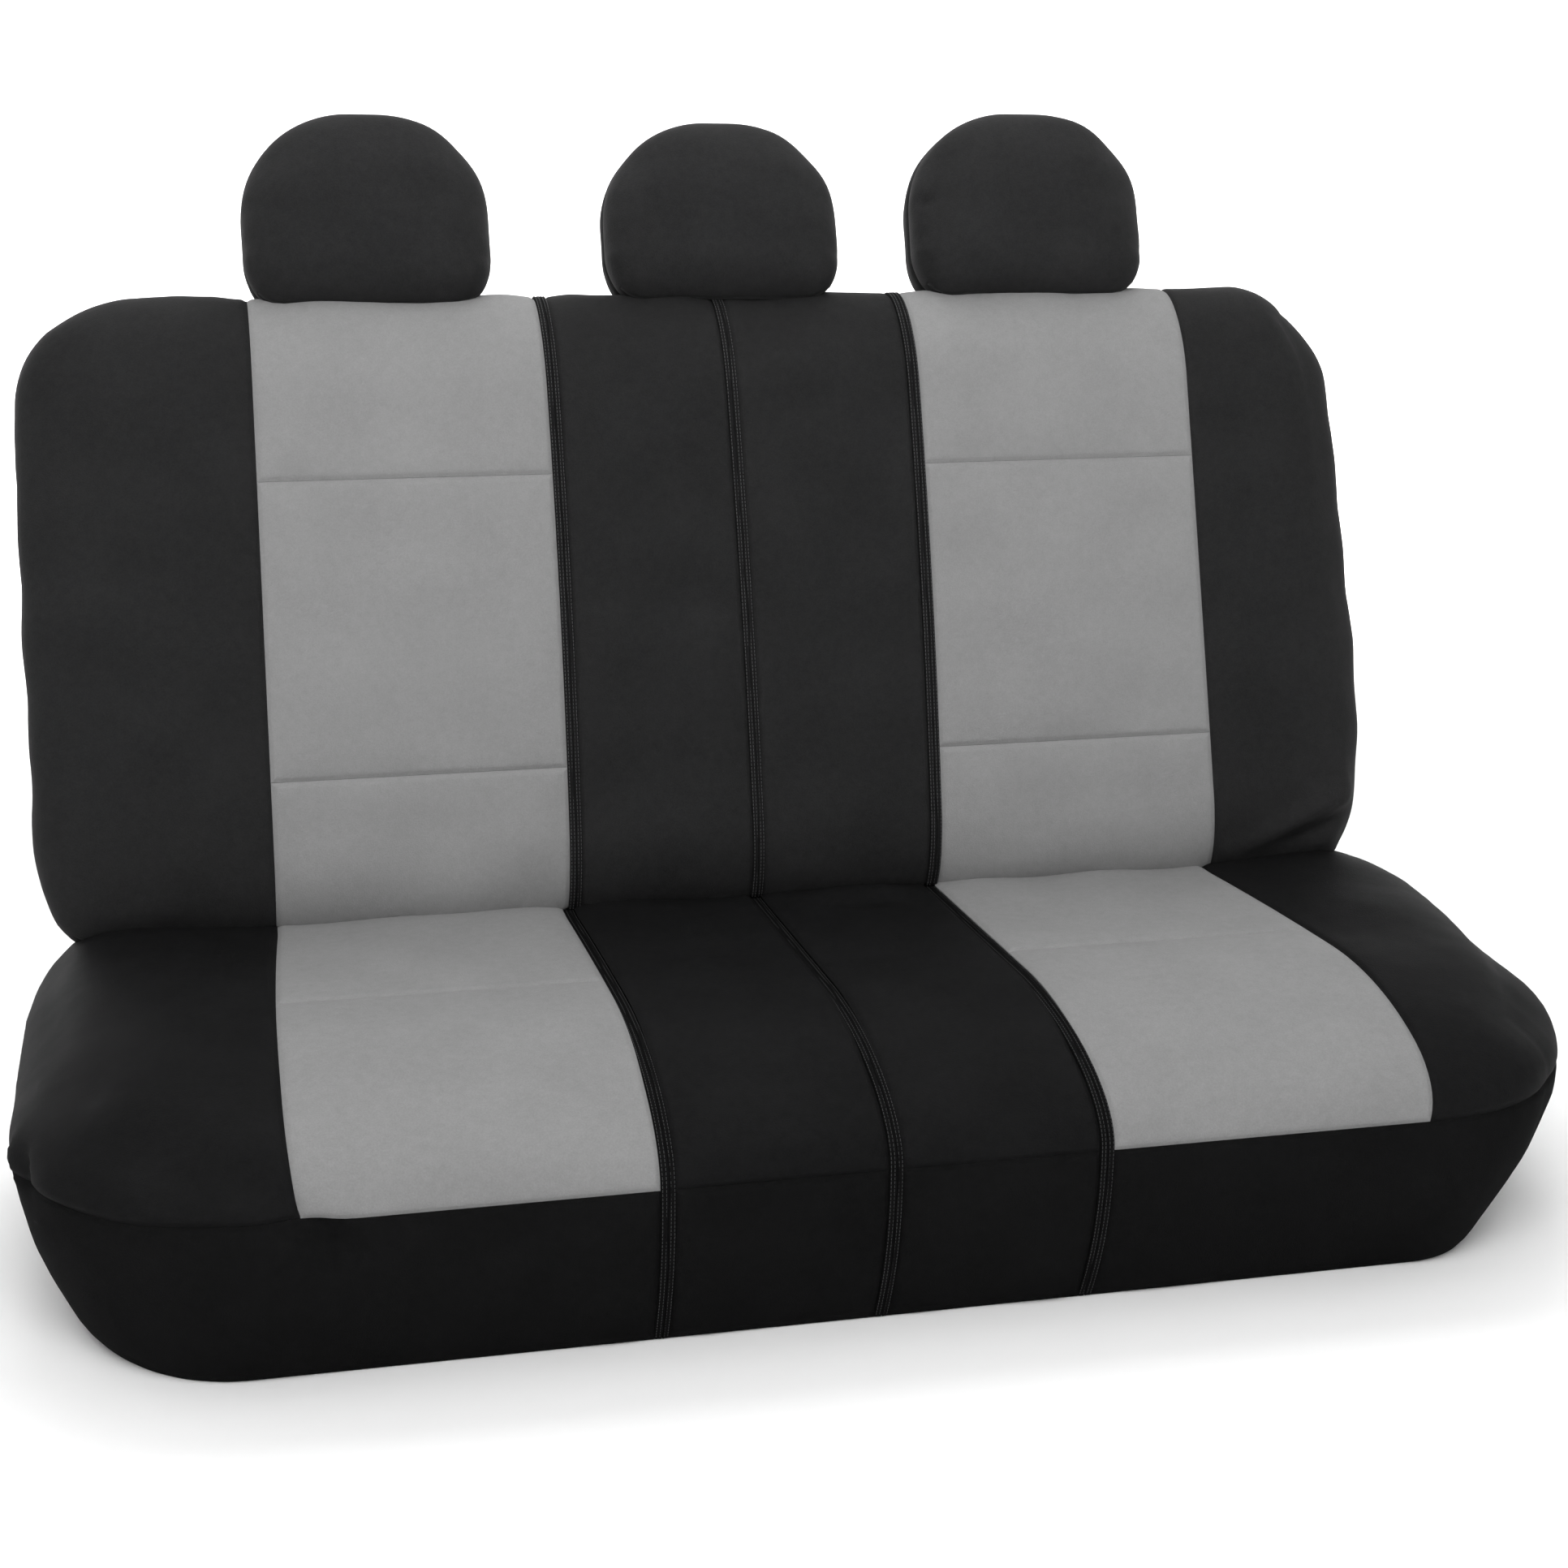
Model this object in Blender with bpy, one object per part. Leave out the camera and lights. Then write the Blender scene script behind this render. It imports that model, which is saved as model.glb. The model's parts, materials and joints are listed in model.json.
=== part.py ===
"""Fitted cover set for a rear bench seat: cushion cover, split backrest cover, three headrest covers.

Metres. +X runs across the bench, +Y to the rear, +Z up. The set stands on the hem of the cushion cover.
The backrest and headrest covers are drawn upright in the frame of the crease, which leans back.
"""
from math import radians
from math import tan

import bmesh
import bpy
from mathutils import Matrix
from mathutils import Vector

FABRIC = 0.003
SEAM_GAP = 0.0005
MERGE = 0.00001
ARC_STEPS = 2

# Seam lines across the bench, measured from its middle.
ZIP_LINE = 0.190
BOLSTER_SEAM = 0.4705
ZIP_WIDTH = 0.0114

# The crease is where the backrest meets the cushion. It is the fold axis too.
CREASE = Vector((0.0, 0.0992, 0.235))
RECLINE = radians(13.6)

# Cushion cover, with its depth measured from the crease.
CUSHION_HALF_WIDTH = 0.690
CUSHION_DEPTH = 0.484
CUSHION_BEHIND_CREASE = 0.120
CUSHION_CORNER = (0.180, 0.230)
CUSHION_REAR_ROLL = 0.140
CUSHION_TOP_ROLL = 0.085
CUSHION_FLARE = 0.030
CUSHION_TOP = CREASE.z + 0.003
SKIRT_TOP = 0.150
SKIRT_SIDE_TUCK = 0.020
SKIRT_FRONT_TUCK = 0.044
CUSHION_CROSS_SEAM = 0.206
HEM_WIDTH = 0.020

# Backrest cover, with heights measured up its slope from the crease.
BACK_HALF_WIDTH = 0.672
BACK_BOTTOM = 0.006
BACK_TOP = 0.612
BACK_THICKNESS = 0.135
BACK_CORNER = 0.100
BACK_LOWER_CORNER = 0.050
BACK_LOWER_ROLL = 0.090
BACK_FRONT_ROLL = 0.045
BACK_REAR_ROLL = 0.040
LOWER_CROSS_SEAM = 0.150
UPPER_CROSS_SEAM = 0.434
REAR_YOKE_SEAM = 0.500

# Headrest covers, from left to right.
HEADREST_CENTRES = {"left": -0.335, "centre": 0.0, "right": 0.335}
HEADREST_HALF_WIDTH = 0.1225
HEADREST_BOTTOM = 0.6145
HEADREST_TOP = 0.797
HEADREST_FRONT = 0.008
HEADREST_THICKNESS = 0.114
HEADREST_DOME = 0.115
HEADREST_LOWER_CORNER = 0.040
HEADREST_LOWER_ROLL = 0.050
HEADREST_EDGE_ROLL = 0.050
CLOSURE_HALF_WIDTH = 0.020
CLOSURE_HALF_LENGTH = 0.0235
CLOSURE_LIFT = 0.004
CLOSURE_THICKNESS = 0.002

# Zip sliders and their pulls.
SLIDER_HALF_WIDTH = 0.0045
SLIDER_HALF_LENGTH = 0.007
SLIDER_LIFT = 0.0004
SLIDER_TOP = 0.004
BRIDGE_HALF_WIDTH = 0.001
BRIDGE_HALF_LENGTH = 0.005
BRIDGE_TOP = 0.0085
BRIDGE_BAR = 0.0015
PULL_AXIS_LIFT = 0.0055
PULL_AXIS_DROP = 0.002
PULL_BAR = 0.0014
PULL_HALF_WIDTH = 0.0034
PULL_SLOT_HALF_WIDTH = 0.0016
PULL_SLOT_LENGTH = 0.009
PULL_LENGTH = 0.034
BACK_SLIDER_HEIGHT = 0.105
CUSHION_SLIDER_HEIGHT = 0.045

# Elastic straps that cross under the bench.
STRAP_X = 0.300
STRAP_WIDTH = 0.040
STRAP_THICKNESS = 0.002
STRAP_LIFT = 0.0036
STRAP_END_CLEARANCE = 0.011

LOW = 0
HIGH = 1
X_SIDE = 0
Y_SIDE = 1
Z_SIDE = 2

FINISHES = {
    "black_fabric": ((0.022, 0.022, 0.023), 0.85, 0.0),
    "grey_fabric": ((0.310, 0.310, 0.310), 0.85, 0.0),
    "zip_tape": ((0.012, 0.012, 0.012), 0.70, 0.0),
    "zip_metal": ((0.045, 0.045, 0.048), 0.35, 0.9),
    "elastic": ((0.018, 0.018, 0.018), 0.90, 0.0),
}


def clear_scene():
    for item in list(bpy.data.objects):
        bpy.data.objects.remove(item, do_unlink=True)


def finish(slot):
    """The Principled material of one slot, made the first time it is asked for."""
    material = bpy.data.materials.get(slot)
    if material is None:
        colour, roughness, metallic = FINISHES[slot]
        material = bpy.data.materials.new(slot)
        material.use_nodes = True
        shader = material.node_tree.nodes["Principled BSDF"]
        shader.inputs["Base Color"].default_value = (*colour, 1.0)
        shader.inputs["Roughness"].default_value = roughness
        shader.inputs["Metallic"].default_value = metallic
    return material


def new_object(name, mesh_data, slot, parent, location=(0.0, 0.0, 0.0)):
    mesh_data.materials.append(finish(slot))
    piece = bpy.data.objects.new(name, mesh_data)
    piece.location = location
    piece.parent = parent
    bpy.context.scene.collection.objects.link(piece)
    return piece


def new_frame(name, location, parent=None, tilt=0.0):
    """An empty that carries the pieces of one moving body."""
    frame = bpy.data.objects.new(name, None)
    frame.location = location
    frame.rotation_euler = (tilt, 0.0, 0.0)
    frame.parent = parent
    bpy.context.scene.collection.objects.link(frame)
    return frame


def arc_lines(low, high, low_radius, high_radius):
    """Grid lines across a box that cut its rounded edges into even angles."""
    lines = set()
    for step in range(ARC_STEPS + 1):
        reach = tan(radians(45.0) * step / ARC_STEPS)
        lines.add(low + low_radius * (1.0 - reach))
        lines.add(high - high_radius * (1.0 - reach))
    return sorted(lines)


def span_lines(lines, start, end):
    """The two ends of a span, and the grid lines between them."""
    inside = [line for line in lines if start + MERGE < line < end - MERGE]
    return [start] + inside + [end]


class RoundedBox:
    """A box whose edges are rounded by elliptical radii, one radius for each of its six sides.

    Near the bottom the side radius may differ, and it blends up to the side radius at the top.
    """

    def __init__(self, low, high, low_radii, high_radii, lower_side_radius=None):
        self.low = low
        self.high = high
        self.low_radii = low_radii
        self.high_radii = high_radii
        self.lower_side_radius = lower_side_radius
        self.lines = []
        for axis in range(3):
            self.lines.append(arc_lines(low[axis], high[axis], low_radii[axis], high_radii[axis]))

    def side_radius(self, z):
        upper = self.low_radii[X_SIDE]
        if self.lower_side_radius is None:
            return upper
        rise = (z - self.low[Z_SIDE]) / (self.high[Z_SIDE] - self.low[Z_SIDE])
        blend = rise * rise * (3.0 - 2.0 * rise)
        return self.lower_side_radius + (upper - self.lower_side_radius) * blend

    def shape(self, place):
        """The point of the rounded surface for a point of the square box, and its outward direction."""
        core = Vector()
        offset = Vector()
        radii = Vector()
        for axis in range(3):
            low_radius = self.low_radii[axis]
            high_radius = self.high_radii[axis]
            if axis == X_SIDE:
                low_radius = high_radius = self.side_radius(place[Z_SIDE])
            low_core = self.low[axis] + low_radius
            high_core = self.high[axis] - high_radius
            core[axis] = min(max(place[axis], low_core), high_core)
            radii[axis] = low_radius if place[axis] < core[axis] else high_radius
            if radii[axis] > 0.0:
                offset[axis] = (place[axis] - core[axis]) / radii[axis]
        offset.normalize()
        point = Vector(core[axis] + radii[axis] * offset[axis] for axis in range(3))
        return point, offset

    def point(self, place):
        return self.shape(place)[0]


class CushionBox(RoundedBox):
    """The cushion's rounded box: it widens to the front, and its skirt tucks in down to a turned hem."""

    def point(self, place):
        turned_in = max(0.0, -place[Z_SIDE])
        point, outward = self.shape((place[0], place[1], max(0.0, place[Z_SIDE])))
        tuck = max(0.0, 1.0 - point.z / SKIRT_TOP) ** 2
        front_tuck = SKIRT_FRONT_TUCK if outward.y < 0.0 else 0.0
        point.x -= outward.x * (SKIRT_SIDE_TUCK * tuck + turned_in)
        point.y -= outward.y * (front_tuck * tuck + turned_in)
        point.x *= 1.0 + CUSHION_FLARE * (CREASE.y - point.y) / CUSHION_DEPTH
        return point


def add_patch(shell, box, axis, end, u_span, v_span):
    """Adds the stretch of one side of a box between two spans, as quads that face out."""
    u_axis, v_axis = [other for other in range(3) if other != axis]
    place = [0.0, 0.0, 0.0]
    place[axis] = box.high[axis] if end == HIGH else box.low[axis]
    rows = []
    for v in span_lines(box.lines[v_axis], *v_span):
        row = []
        for u in span_lines(box.lines[u_axis], *u_span):
            place[u_axis] = u
            place[v_axis] = v
            row.append(shell.verts.new(box.point(place)))
        rows.append(row)
    faces_out = (end == HIGH) != (axis == Y_SIDE)
    for lower, upper in zip(rows, rows[1:]):
        for index in range(len(lower) - 1):
            corners = [lower[index], lower[index + 1], upper[index + 1], upper[index]]
            if not faces_out:
                corners.reverse()
            shell.faces.new(corners)


def fabric_panel(name, box, patches, slot, parent):
    """One sewn panel: patches of a box joined along its edges, with the fabric's thickness inside."""
    shell = bmesh.new()
    for patch in patches:
        add_patch(shell, box, *patch)
    bmesh.ops.remove_doubles(shell, verts=shell.verts, dist=MERGE)
    mesh_data = bpy.data.meshes.new(name)
    shell.to_mesh(mesh_data)
    shell.free()
    mesh_data.shade_smooth()
    panel = new_object(name, mesh_data, slot, parent)
    thickness = panel.modifiers.new("fabric", "SOLIDIFY")
    thickness.thickness = FABRIC
    thickness.offset = -1.0
    thickness.use_even_offset = True
    return panel


def solid_box(name, low, high, slot, parent, location=(0.0, 0.0, 0.0), bevel=0.0):
    """A plain block between two corners, with an optional bevel on its edges."""
    block = bmesh.new()
    size = Vector(high) - Vector(low)
    middle = (Vector(high) + Vector(low)) / 2.0
    bmesh.ops.create_cube(block, size=1.0, matrix=Matrix.Translation(middle) @ Matrix.Diagonal(size).to_4x4())
    mesh_data = bpy.data.meshes.new(name)
    block.to_mesh(mesh_data)
    block.free()
    piece = new_object(name, mesh_data, slot, parent, location)
    if bevel > 0.0:
        rounding = piece.modifiers.new("edges", "BEVEL")
        rounding.width = bevel
        rounding.segments = 2
    return piece


def inner(low, high):
    """A span between two seam lines, less half a seam gap at each end."""
    return (low + SEAM_GAP / 2.0, high - SEAM_GAP / 2.0)


def column_spans(outer_edge):
    """Spans across the bench, by column name, from the left bolster to the right one."""
    half_zip = ZIP_WIDTH / 2.0
    return {
        "left_bolster": (-outer_edge, -BOLSTER_SEAM - SEAM_GAP / 2.0),
        "left_insert": inner(-BOLSTER_SEAM, -ZIP_LINE - half_zip),
        "left_zip": inner(-ZIP_LINE - half_zip, -ZIP_LINE + half_zip),
        "centre_left": inner(-ZIP_LINE + half_zip, -half_zip),
        "centre_zip": inner(-half_zip, half_zip),
        "centre_right": inner(half_zip, ZIP_LINE - half_zip),
        "right_zip": inner(ZIP_LINE - half_zip, ZIP_LINE + half_zip),
        "right_insert": inner(ZIP_LINE + half_zip, BOLSTER_SEAM),
        "right_bolster": (BOLSTER_SEAM + SEAM_GAP / 2.0, outer_edge),
    }


def cushion_box():
    corner_x, corner_y = CUSHION_CORNER
    low = (-CUSHION_HALF_WIDTH, CREASE.y - CUSHION_DEPTH, 0.0)
    high = (CUSHION_HALF_WIDTH, CREASE.y + CUSHION_BEHIND_CREASE, CUSHION_TOP)
    box = CushionBox(low, high, (corner_x, corner_y, 0.0), (corner_x, CUSHION_REAR_ROLL, CUSHION_TOP_ROLL))
    box.lines[Z_SIDE] += [0.0, SKIRT_TOP / 3.0, SKIRT_TOP * 2.0 / 3.0]
    box.lines[Z_SIDE] = sorted(box.lines[Z_SIDE])
    return box


def cushion_top_panels(box, spans):
    """Eight panels of the cushion's top, which wrap over its front and rear edges to the skirt seam."""
    front, rear = box.low[Y_SIDE], box.high[Y_SIDE]
    wall = (SKIRT_TOP + SEAM_GAP / 2.0, box.high[Z_SIDE])
    cross_seam = CREASE.y - CUSHION_CROSS_SEAM
    for side, end in (("left", LOW), ("right", HIGH)):
        span = spans[side + "_bolster"]
        patches = [
            (Z_SIDE, HIGH, span, (front, rear)),
            (Y_SIDE, LOW, span, wall),
            (Y_SIDE, HIGH, span, wall),
            (X_SIDE, end, (front, rear), wall),
        ]
        fabric_panel(side + "_cushion_bolster", box, patches, "black_fabric", None)
        span = spans[side + "_insert"]
        patches = [
            (Z_SIDE, HIGH, span, (front, cross_seam - SEAM_GAP / 2.0)),
            (Y_SIDE, LOW, span, wall),
        ]
        fabric_panel(side + "_cushion_insert_front", box, patches, "grey_fabric", None)
        patches = [
            (Z_SIDE, HIGH, span, (cross_seam + SEAM_GAP / 2.0, rear)),
            (Y_SIDE, HIGH, span, wall),
        ]
        fabric_panel(side + "_cushion_insert_rear", box, patches, "grey_fabric", None)
        span = spans["centre_" + side]
        patches = [
            (Z_SIDE, HIGH, span, (front, rear)),
            (Y_SIDE, LOW, span, wall),
            (Y_SIDE, HIGH, span, wall),
        ]
        fabric_panel("cushion_centre_" + side, box, patches, "black_fabric", None)


def cushion_skirts(box, spans):
    """Four front skirts, of which the outer two wrap round the sides, and four rear skirts."""
    front, rear = box.low[Y_SIDE], box.high[Y_SIDE]
    drop = (-HEM_WIDTH, SKIRT_TOP - SEAM_GAP / 2.0)
    for side, end in (("left", LOW), ("right", HIGH)):
        bolster = spans[side + "_bolster"]
        insert = spans[side + "_insert"]
        outer_front = (min(bolster[0], insert[0]), max(bolster[1], insert[1]))
        patches = [
            (Y_SIDE, LOW, outer_front, drop),
            (X_SIDE, end, (front, rear), drop),
            (Y_SIDE, HIGH, bolster, drop),
        ]
        fabric_panel(side + "_skirt", box, patches, "black_fabric", None)
        patches = [(Y_SIDE, HIGH, insert, drop)]
        fabric_panel(side + "_rear_skirt", box, patches, "black_fabric", None)
        span = spans["centre_" + side]
        fabric_panel("centre_skirt_" + side, box, [(Y_SIDE, LOW, span, drop)], "black_fabric", None)
        fabric_panel("centre_rear_skirt_" + side, box, [(Y_SIDE, HIGH, span, drop)], "black_fabric", None)


def under_straps(box):
    """Two elastic straps sewn to the front and rear hems, which cross under the bench."""
    front = box.low[Y_SIDE] + SKIRT_FRONT_TUCK + STRAP_END_CLEARANCE
    rear = box.high[Y_SIDE] - STRAP_END_CLEARANCE
    for side, x in (("left", -STRAP_X), ("right", STRAP_X)):
        low = (x - STRAP_WIDTH / 2.0, front, STRAP_LIFT)
        high = (x + STRAP_WIDTH / 2.0, rear, STRAP_LIFT + STRAP_THICKNESS)
        solid_box(side + "_under_strap", low, high, "elastic", None)


def slider_mesh():
    """A zip slider: a bevelled body and the bridge that holds the pull, joined by a Boolean union."""
    body = solid_box(
        "slider_body",
        (-SLIDER_HALF_WIDTH, SLIDER_LIFT, -SLIDER_HALF_LENGTH),
        (SLIDER_HALF_WIDTH, SLIDER_TOP, SLIDER_HALF_LENGTH),
        "zip_metal", None, bevel=0.0008,
    )
    bridge = solid_box(
        "slider_bridge",
        (-BRIDGE_HALF_WIDTH, SLIDER_TOP - BRIDGE_BAR, -BRIDGE_HALF_LENGTH),
        (BRIDGE_HALF_WIDTH, BRIDGE_TOP, BRIDGE_HALF_LENGTH),
        "zip_metal", None,
    )
    eye = solid_box(
        "slider_eye",
        (-SLIDER_HALF_WIDTH, SLIDER_TOP, BRIDGE_BAR - BRIDGE_HALF_LENGTH),
        (SLIDER_HALF_WIDTH, BRIDGE_TOP - BRIDGE_BAR, BRIDGE_HALF_LENGTH - BRIDGE_BAR),
        "zip_metal", None,
    )
    for operation, cutter in (("UNION", bridge), ("DIFFERENCE", eye)):
        step = body.modifiers.new(operation.lower(), "BOOLEAN")
        step.operation = operation
        step.object = cutter
    bpy.context.view_layer.update()
    evaluated = body.evaluated_get(bpy.context.evaluated_depsgraph_get())
    mesh_data = bpy.data.meshes.new_from_object(evaluated)
    mesh_data.materials.clear()
    for piece in (body, bridge, eye):
        bpy.data.objects.remove(piece, do_unlink=True)
    return mesh_data


def pull_mesh():
    """A flat pull with a slot at its top. Its hinge bar, at the origin, closes the slot."""
    plate = bmesh.new()
    across = (-PULL_HALF_WIDTH, -PULL_SLOT_HALF_WIDTH, PULL_SLOT_HALF_WIDTH, PULL_HALF_WIDTH)
    down = (-PULL_LENGTH, -PULL_SLOT_LENGTH, -PULL_BAR / 2.0, PULL_BAR / 2.0)
    rows = [[plate.verts.new((x, -PULL_BAR / 2.0, z)) for x in across] for z in down]
    for row_index, (lower, upper) in enumerate(zip(rows, rows[1:])):
        for index in range(3):
            slot_here = row_index == 1 and index == 1
            if not slot_here:
                plate.faces.new((lower[index], lower[index + 1], upper[index + 1], upper[index]))
    extruded = bmesh.ops.extrude_face_region(plate, geom=plate.faces[:], use_keep_orig=True)
    moved = [item for item in extruded["geom"] if isinstance(item, bmesh.types.BMVert)]
    bmesh.ops.translate(plate, verts=moved, vec=(0.0, PULL_BAR, 0.0))
    bmesh.ops.recalc_face_normals(plate, faces=plate.faces[:])
    mesh_data = bpy.data.meshes.new("pull")
    plate.to_mesh(mesh_data)
    plate.free()
    return mesh_data


def zip_slider(name, sliders, pulls, parent, place, tilt):
    """A slider on its zip line, and its pull, which hangs straight down from the slider's bridge."""
    body = new_object(name + "_slider", sliders.copy(), "zip_metal", parent, place)
    lift = Vector((0.0, PULL_AXIS_LIFT, -PULL_AXIS_DROP))
    pull = new_object(name + "_pull", pulls.copy(), "zip_metal", body, lift)
    pull.rotation_euler = (tilt, 0.0, 0.0)


def cushion_zips(box, spans, sliders, pulls):
    """Three zip chains from the rear hem over the top to the front hem, each with its slider."""
    front, rear = box.low[Y_SIDE], box.high[Y_SIDE]
    wall = (-HEM_WIDTH, box.high[Z_SIDE])
    for column, x in (("left", -ZIP_LINE), ("centre", 0.0), ("right", ZIP_LINE)):
        span = spans[column + "_zip"]
        patches = [
            (Y_SIDE, LOW, span, wall),
            (Z_SIDE, HIGH, span, (front, rear)),
            (Y_SIDE, HIGH, span, wall),
        ]
        name = column + "_cushion_zip"
        fabric_panel(name, box, patches, "zip_tape", None)
        x_at_rear = x * (1.0 - CUSHION_FLARE * CUSHION_BEHIND_CREASE / CUSHION_DEPTH)
        zip_slider(name, sliders, pulls, None, (x_at_rear, rear, CUSHION_SLIDER_HEIGHT), 0.0)


def hem_patches(box, span, depth_span):
    """The front and rear strips of a box's underside, as far as its hem turns in, within a depth span."""
    turned = tan(radians(45.0) / ARC_STEPS)
    front_core = box.low[Y_SIDE] + box.low_radii[Y_SIDE]
    rear_core = box.high[Y_SIDE] - box.high_radii[Y_SIDE]
    front_edge = front_core - box.low_radii[Y_SIDE] * turned
    rear_edge = rear_core + box.high_radii[Y_SIDE] * turned
    patches = []
    if depth_span[0] < front_edge:
        patches.append((Z_SIDE, LOW, span, (box.low[Y_SIDE], front_edge)))
    if depth_span[1] > rear_edge:
        patches.append((Z_SIDE, LOW, span, (rear_edge, box.high[Y_SIDE])))
    return patches


def side_hem_patch(box, end, depth_span):
    """The strip of a box's underside along one side, between the front and rear strips."""
    turned = tan(radians(45.0) / ARC_STEPS)
    reach = box.side_radius(box.low[Z_SIDE]) * (1.0 - turned)
    front_edge = box.low[Y_SIDE] + box.low_radii[Y_SIDE] * (1.0 - turned)
    rear_edge = box.high[Y_SIDE] - box.high_radii[Y_SIDE] * (1.0 - turned)
    x_span = (box.low[0], box.low[0] + reach) if end == LOW else (box.high[0] - reach, box.high[0])
    return (Z_SIDE, LOW, x_span, (max(depth_span[0], front_edge), min(depth_span[1], rear_edge)))


def backrest_box():
    low = (-BACK_HALF_WIDTH, 0.0, BACK_BOTTOM)
    high = (BACK_HALF_WIDTH, BACK_THICKNESS, BACK_TOP)
    low_radii = (BACK_CORNER, BACK_FRONT_ROLL, BACK_LOWER_ROLL)
    high_radii = (BACK_CORNER, BACK_REAR_ROLL, BACK_CORNER)
    box = RoundedBox(low, high, low_radii, high_radii, BACK_LOWER_CORNER)
    for end in (-1.0, 1.0):
        turned = tan(radians(45.0) / ARC_STEPS)
        box.lines[X_SIDE].append(end * (BACK_HALF_WIDTH - BACK_LOWER_CORNER * (1.0 - turned)))
    box.lines[X_SIDE].sort()
    return box


def outer_section(box, spans, side, end, frame):
    """The left or right section of the backrest: a bolster, three insert panels and a rear panel."""
    front, rear = box.low[Y_SIDE], box.high[Y_SIDE]
    bottom, top = box.low[Z_SIDE], box.high[Z_SIDE]
    depth = (front, rear)
    span = spans[side + "_bolster"]
    patches = [
        (Y_SIDE, LOW, span, (bottom, top)),
        (Y_SIDE, HIGH, span, (bottom, top)),
        (Z_SIDE, HIGH, span, depth),
        (X_SIDE, end, depth, (bottom, top)),
        side_hem_patch(box, end, depth),
    ]
    patches += hem_patches(box, span, depth)
    fabric_panel(side + "_back_bolster", box, patches, "black_fabric", frame)
    span = spans[side + "_insert"]
    half_gap = SEAM_GAP / 2.0
    patches = [(Y_SIDE, LOW, span, (bottom, LOWER_CROSS_SEAM - half_gap))]
    patches += hem_patches(box, span, (front, front))
    fabric_panel(side + "_back_insert_lower", box, patches, "grey_fabric", frame)
    patches = [(Y_SIDE, LOW, span, inner(LOWER_CROSS_SEAM, UPPER_CROSS_SEAM))]
    fabric_panel(side + "_back_insert_middle", box, patches, "grey_fabric", frame)
    patches = [
        (Y_SIDE, LOW, span, (UPPER_CROSS_SEAM + half_gap, top)),
        (Z_SIDE, HIGH, span, depth),
        (Y_SIDE, HIGH, span, (REAR_YOKE_SEAM + half_gap, top)),
    ]
    fabric_panel(side + "_back_insert_upper", box, patches, "grey_fabric", frame)
    patches = [(Y_SIDE, HIGH, span, (bottom, REAR_YOKE_SEAM - half_gap))]
    patches += hem_patches(box, span, (rear, rear))
    fabric_panel(side + "_back_rear_panel", box, patches, "black_fabric", frame)


def centre_section(box, spans, frame, sliders, pulls):
    """The centre section of the backrest: two panels and the three zip chains that close it."""
    depth = (box.low[Y_SIDE], box.high[Y_SIDE])
    height = (box.low[Z_SIDE], box.high[Z_SIDE])
    loops = [
        ("back_centre_left", "centre_left", "black_fabric"),
        ("back_centre_right", "centre_right", "black_fabric"),
        ("left_back_zip", "left_zip", "zip_tape"),
        ("centre_back_zip", "centre_zip", "zip_tape"),
        ("right_back_zip", "right_zip", "zip_tape"),
    ]
    for name, column, slot in loops:
        span = spans[column]
        patches = [
            (Y_SIDE, LOW, span, height),
            (Z_SIDE, HIGH, span, depth),
            (Y_SIDE, HIGH, span, height),
        ]
        patches += hem_patches(box, span, depth)
        fabric_panel(name, box, patches, slot, frame)
    for column, x in (("left", -ZIP_LINE), ("centre", 0.0), ("right", ZIP_LINE)):
        place = (x, BACK_THICKNESS, BACK_SLIDER_HEIGHT)
        zip_slider(column + "_back_zip", sliders, pulls, frame, place, RECLINE)


def headrest_cover(side, frame):
    """One headrest cover: a front and a rear panel sewn round the dome, and a closure under it."""
    low = (-HEADREST_HALF_WIDTH, HEADREST_FRONT, HEADREST_BOTTOM)
    high = (HEADREST_HALF_WIDTH, HEADREST_FRONT + HEADREST_THICKNESS, HEADREST_TOP)
    low_radii = (HEADREST_DOME, HEADREST_EDGE_ROLL, HEADREST_LOWER_ROLL)
    high_radii = (HEADREST_DOME, HEADREST_EDGE_ROLL, HEADREST_DOME)
    box = RoundedBox(low, high, low_radii, high_radii, HEADREST_LOWER_CORNER)
    for end in (-1.0, 1.0):
        turned = tan(radians(45.0) / ARC_STEPS)
        box.lines[X_SIDE].append(end * (HEADREST_HALF_WIDTH - HEADREST_LOWER_CORNER * (1.0 - turned)))
    box.lines[X_SIDE].sort()
    middle = HEADREST_FRONT + HEADREST_THICKNESS / 2.0
    width = (low[X_SIDE], high[X_SIDE])
    height = (low[Z_SIDE], high[Z_SIDE])
    halves = [
        ("front", LOW, (low[Y_SIDE], middle - SEAM_GAP / 2.0)),
        ("rear", HIGH, (middle + SEAM_GAP / 2.0, high[Y_SIDE])),
    ]
    for half, end, depth in halves:
        face = depth[0] if end == LOW else depth[1]
        patches = [
            (Y_SIDE, end, width, height),
            (Z_SIDE, HIGH, width, depth),
            (X_SIDE, LOW, depth, height),
            (X_SIDE, HIGH, depth, height),
            side_hem_patch(box, LOW, depth),
            side_hem_patch(box, HIGH, depth),
        ]
        patches += hem_patches(box, width, (face, face))
        fabric_panel(f"{side}_headrest_{half}", box, patches, "black_fabric", frame)
    low = (-CLOSURE_HALF_WIDTH, middle - CLOSURE_HALF_LENGTH, HEADREST_BOTTOM + CLOSURE_LIFT)
    high = (CLOSURE_HALF_WIDTH, middle + CLOSURE_HALF_LENGTH, low[Z_SIDE] + CLOSURE_THICKNESS)
    solid_box(side + "_headrest_closure", low, high, "elastic", frame)


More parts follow.
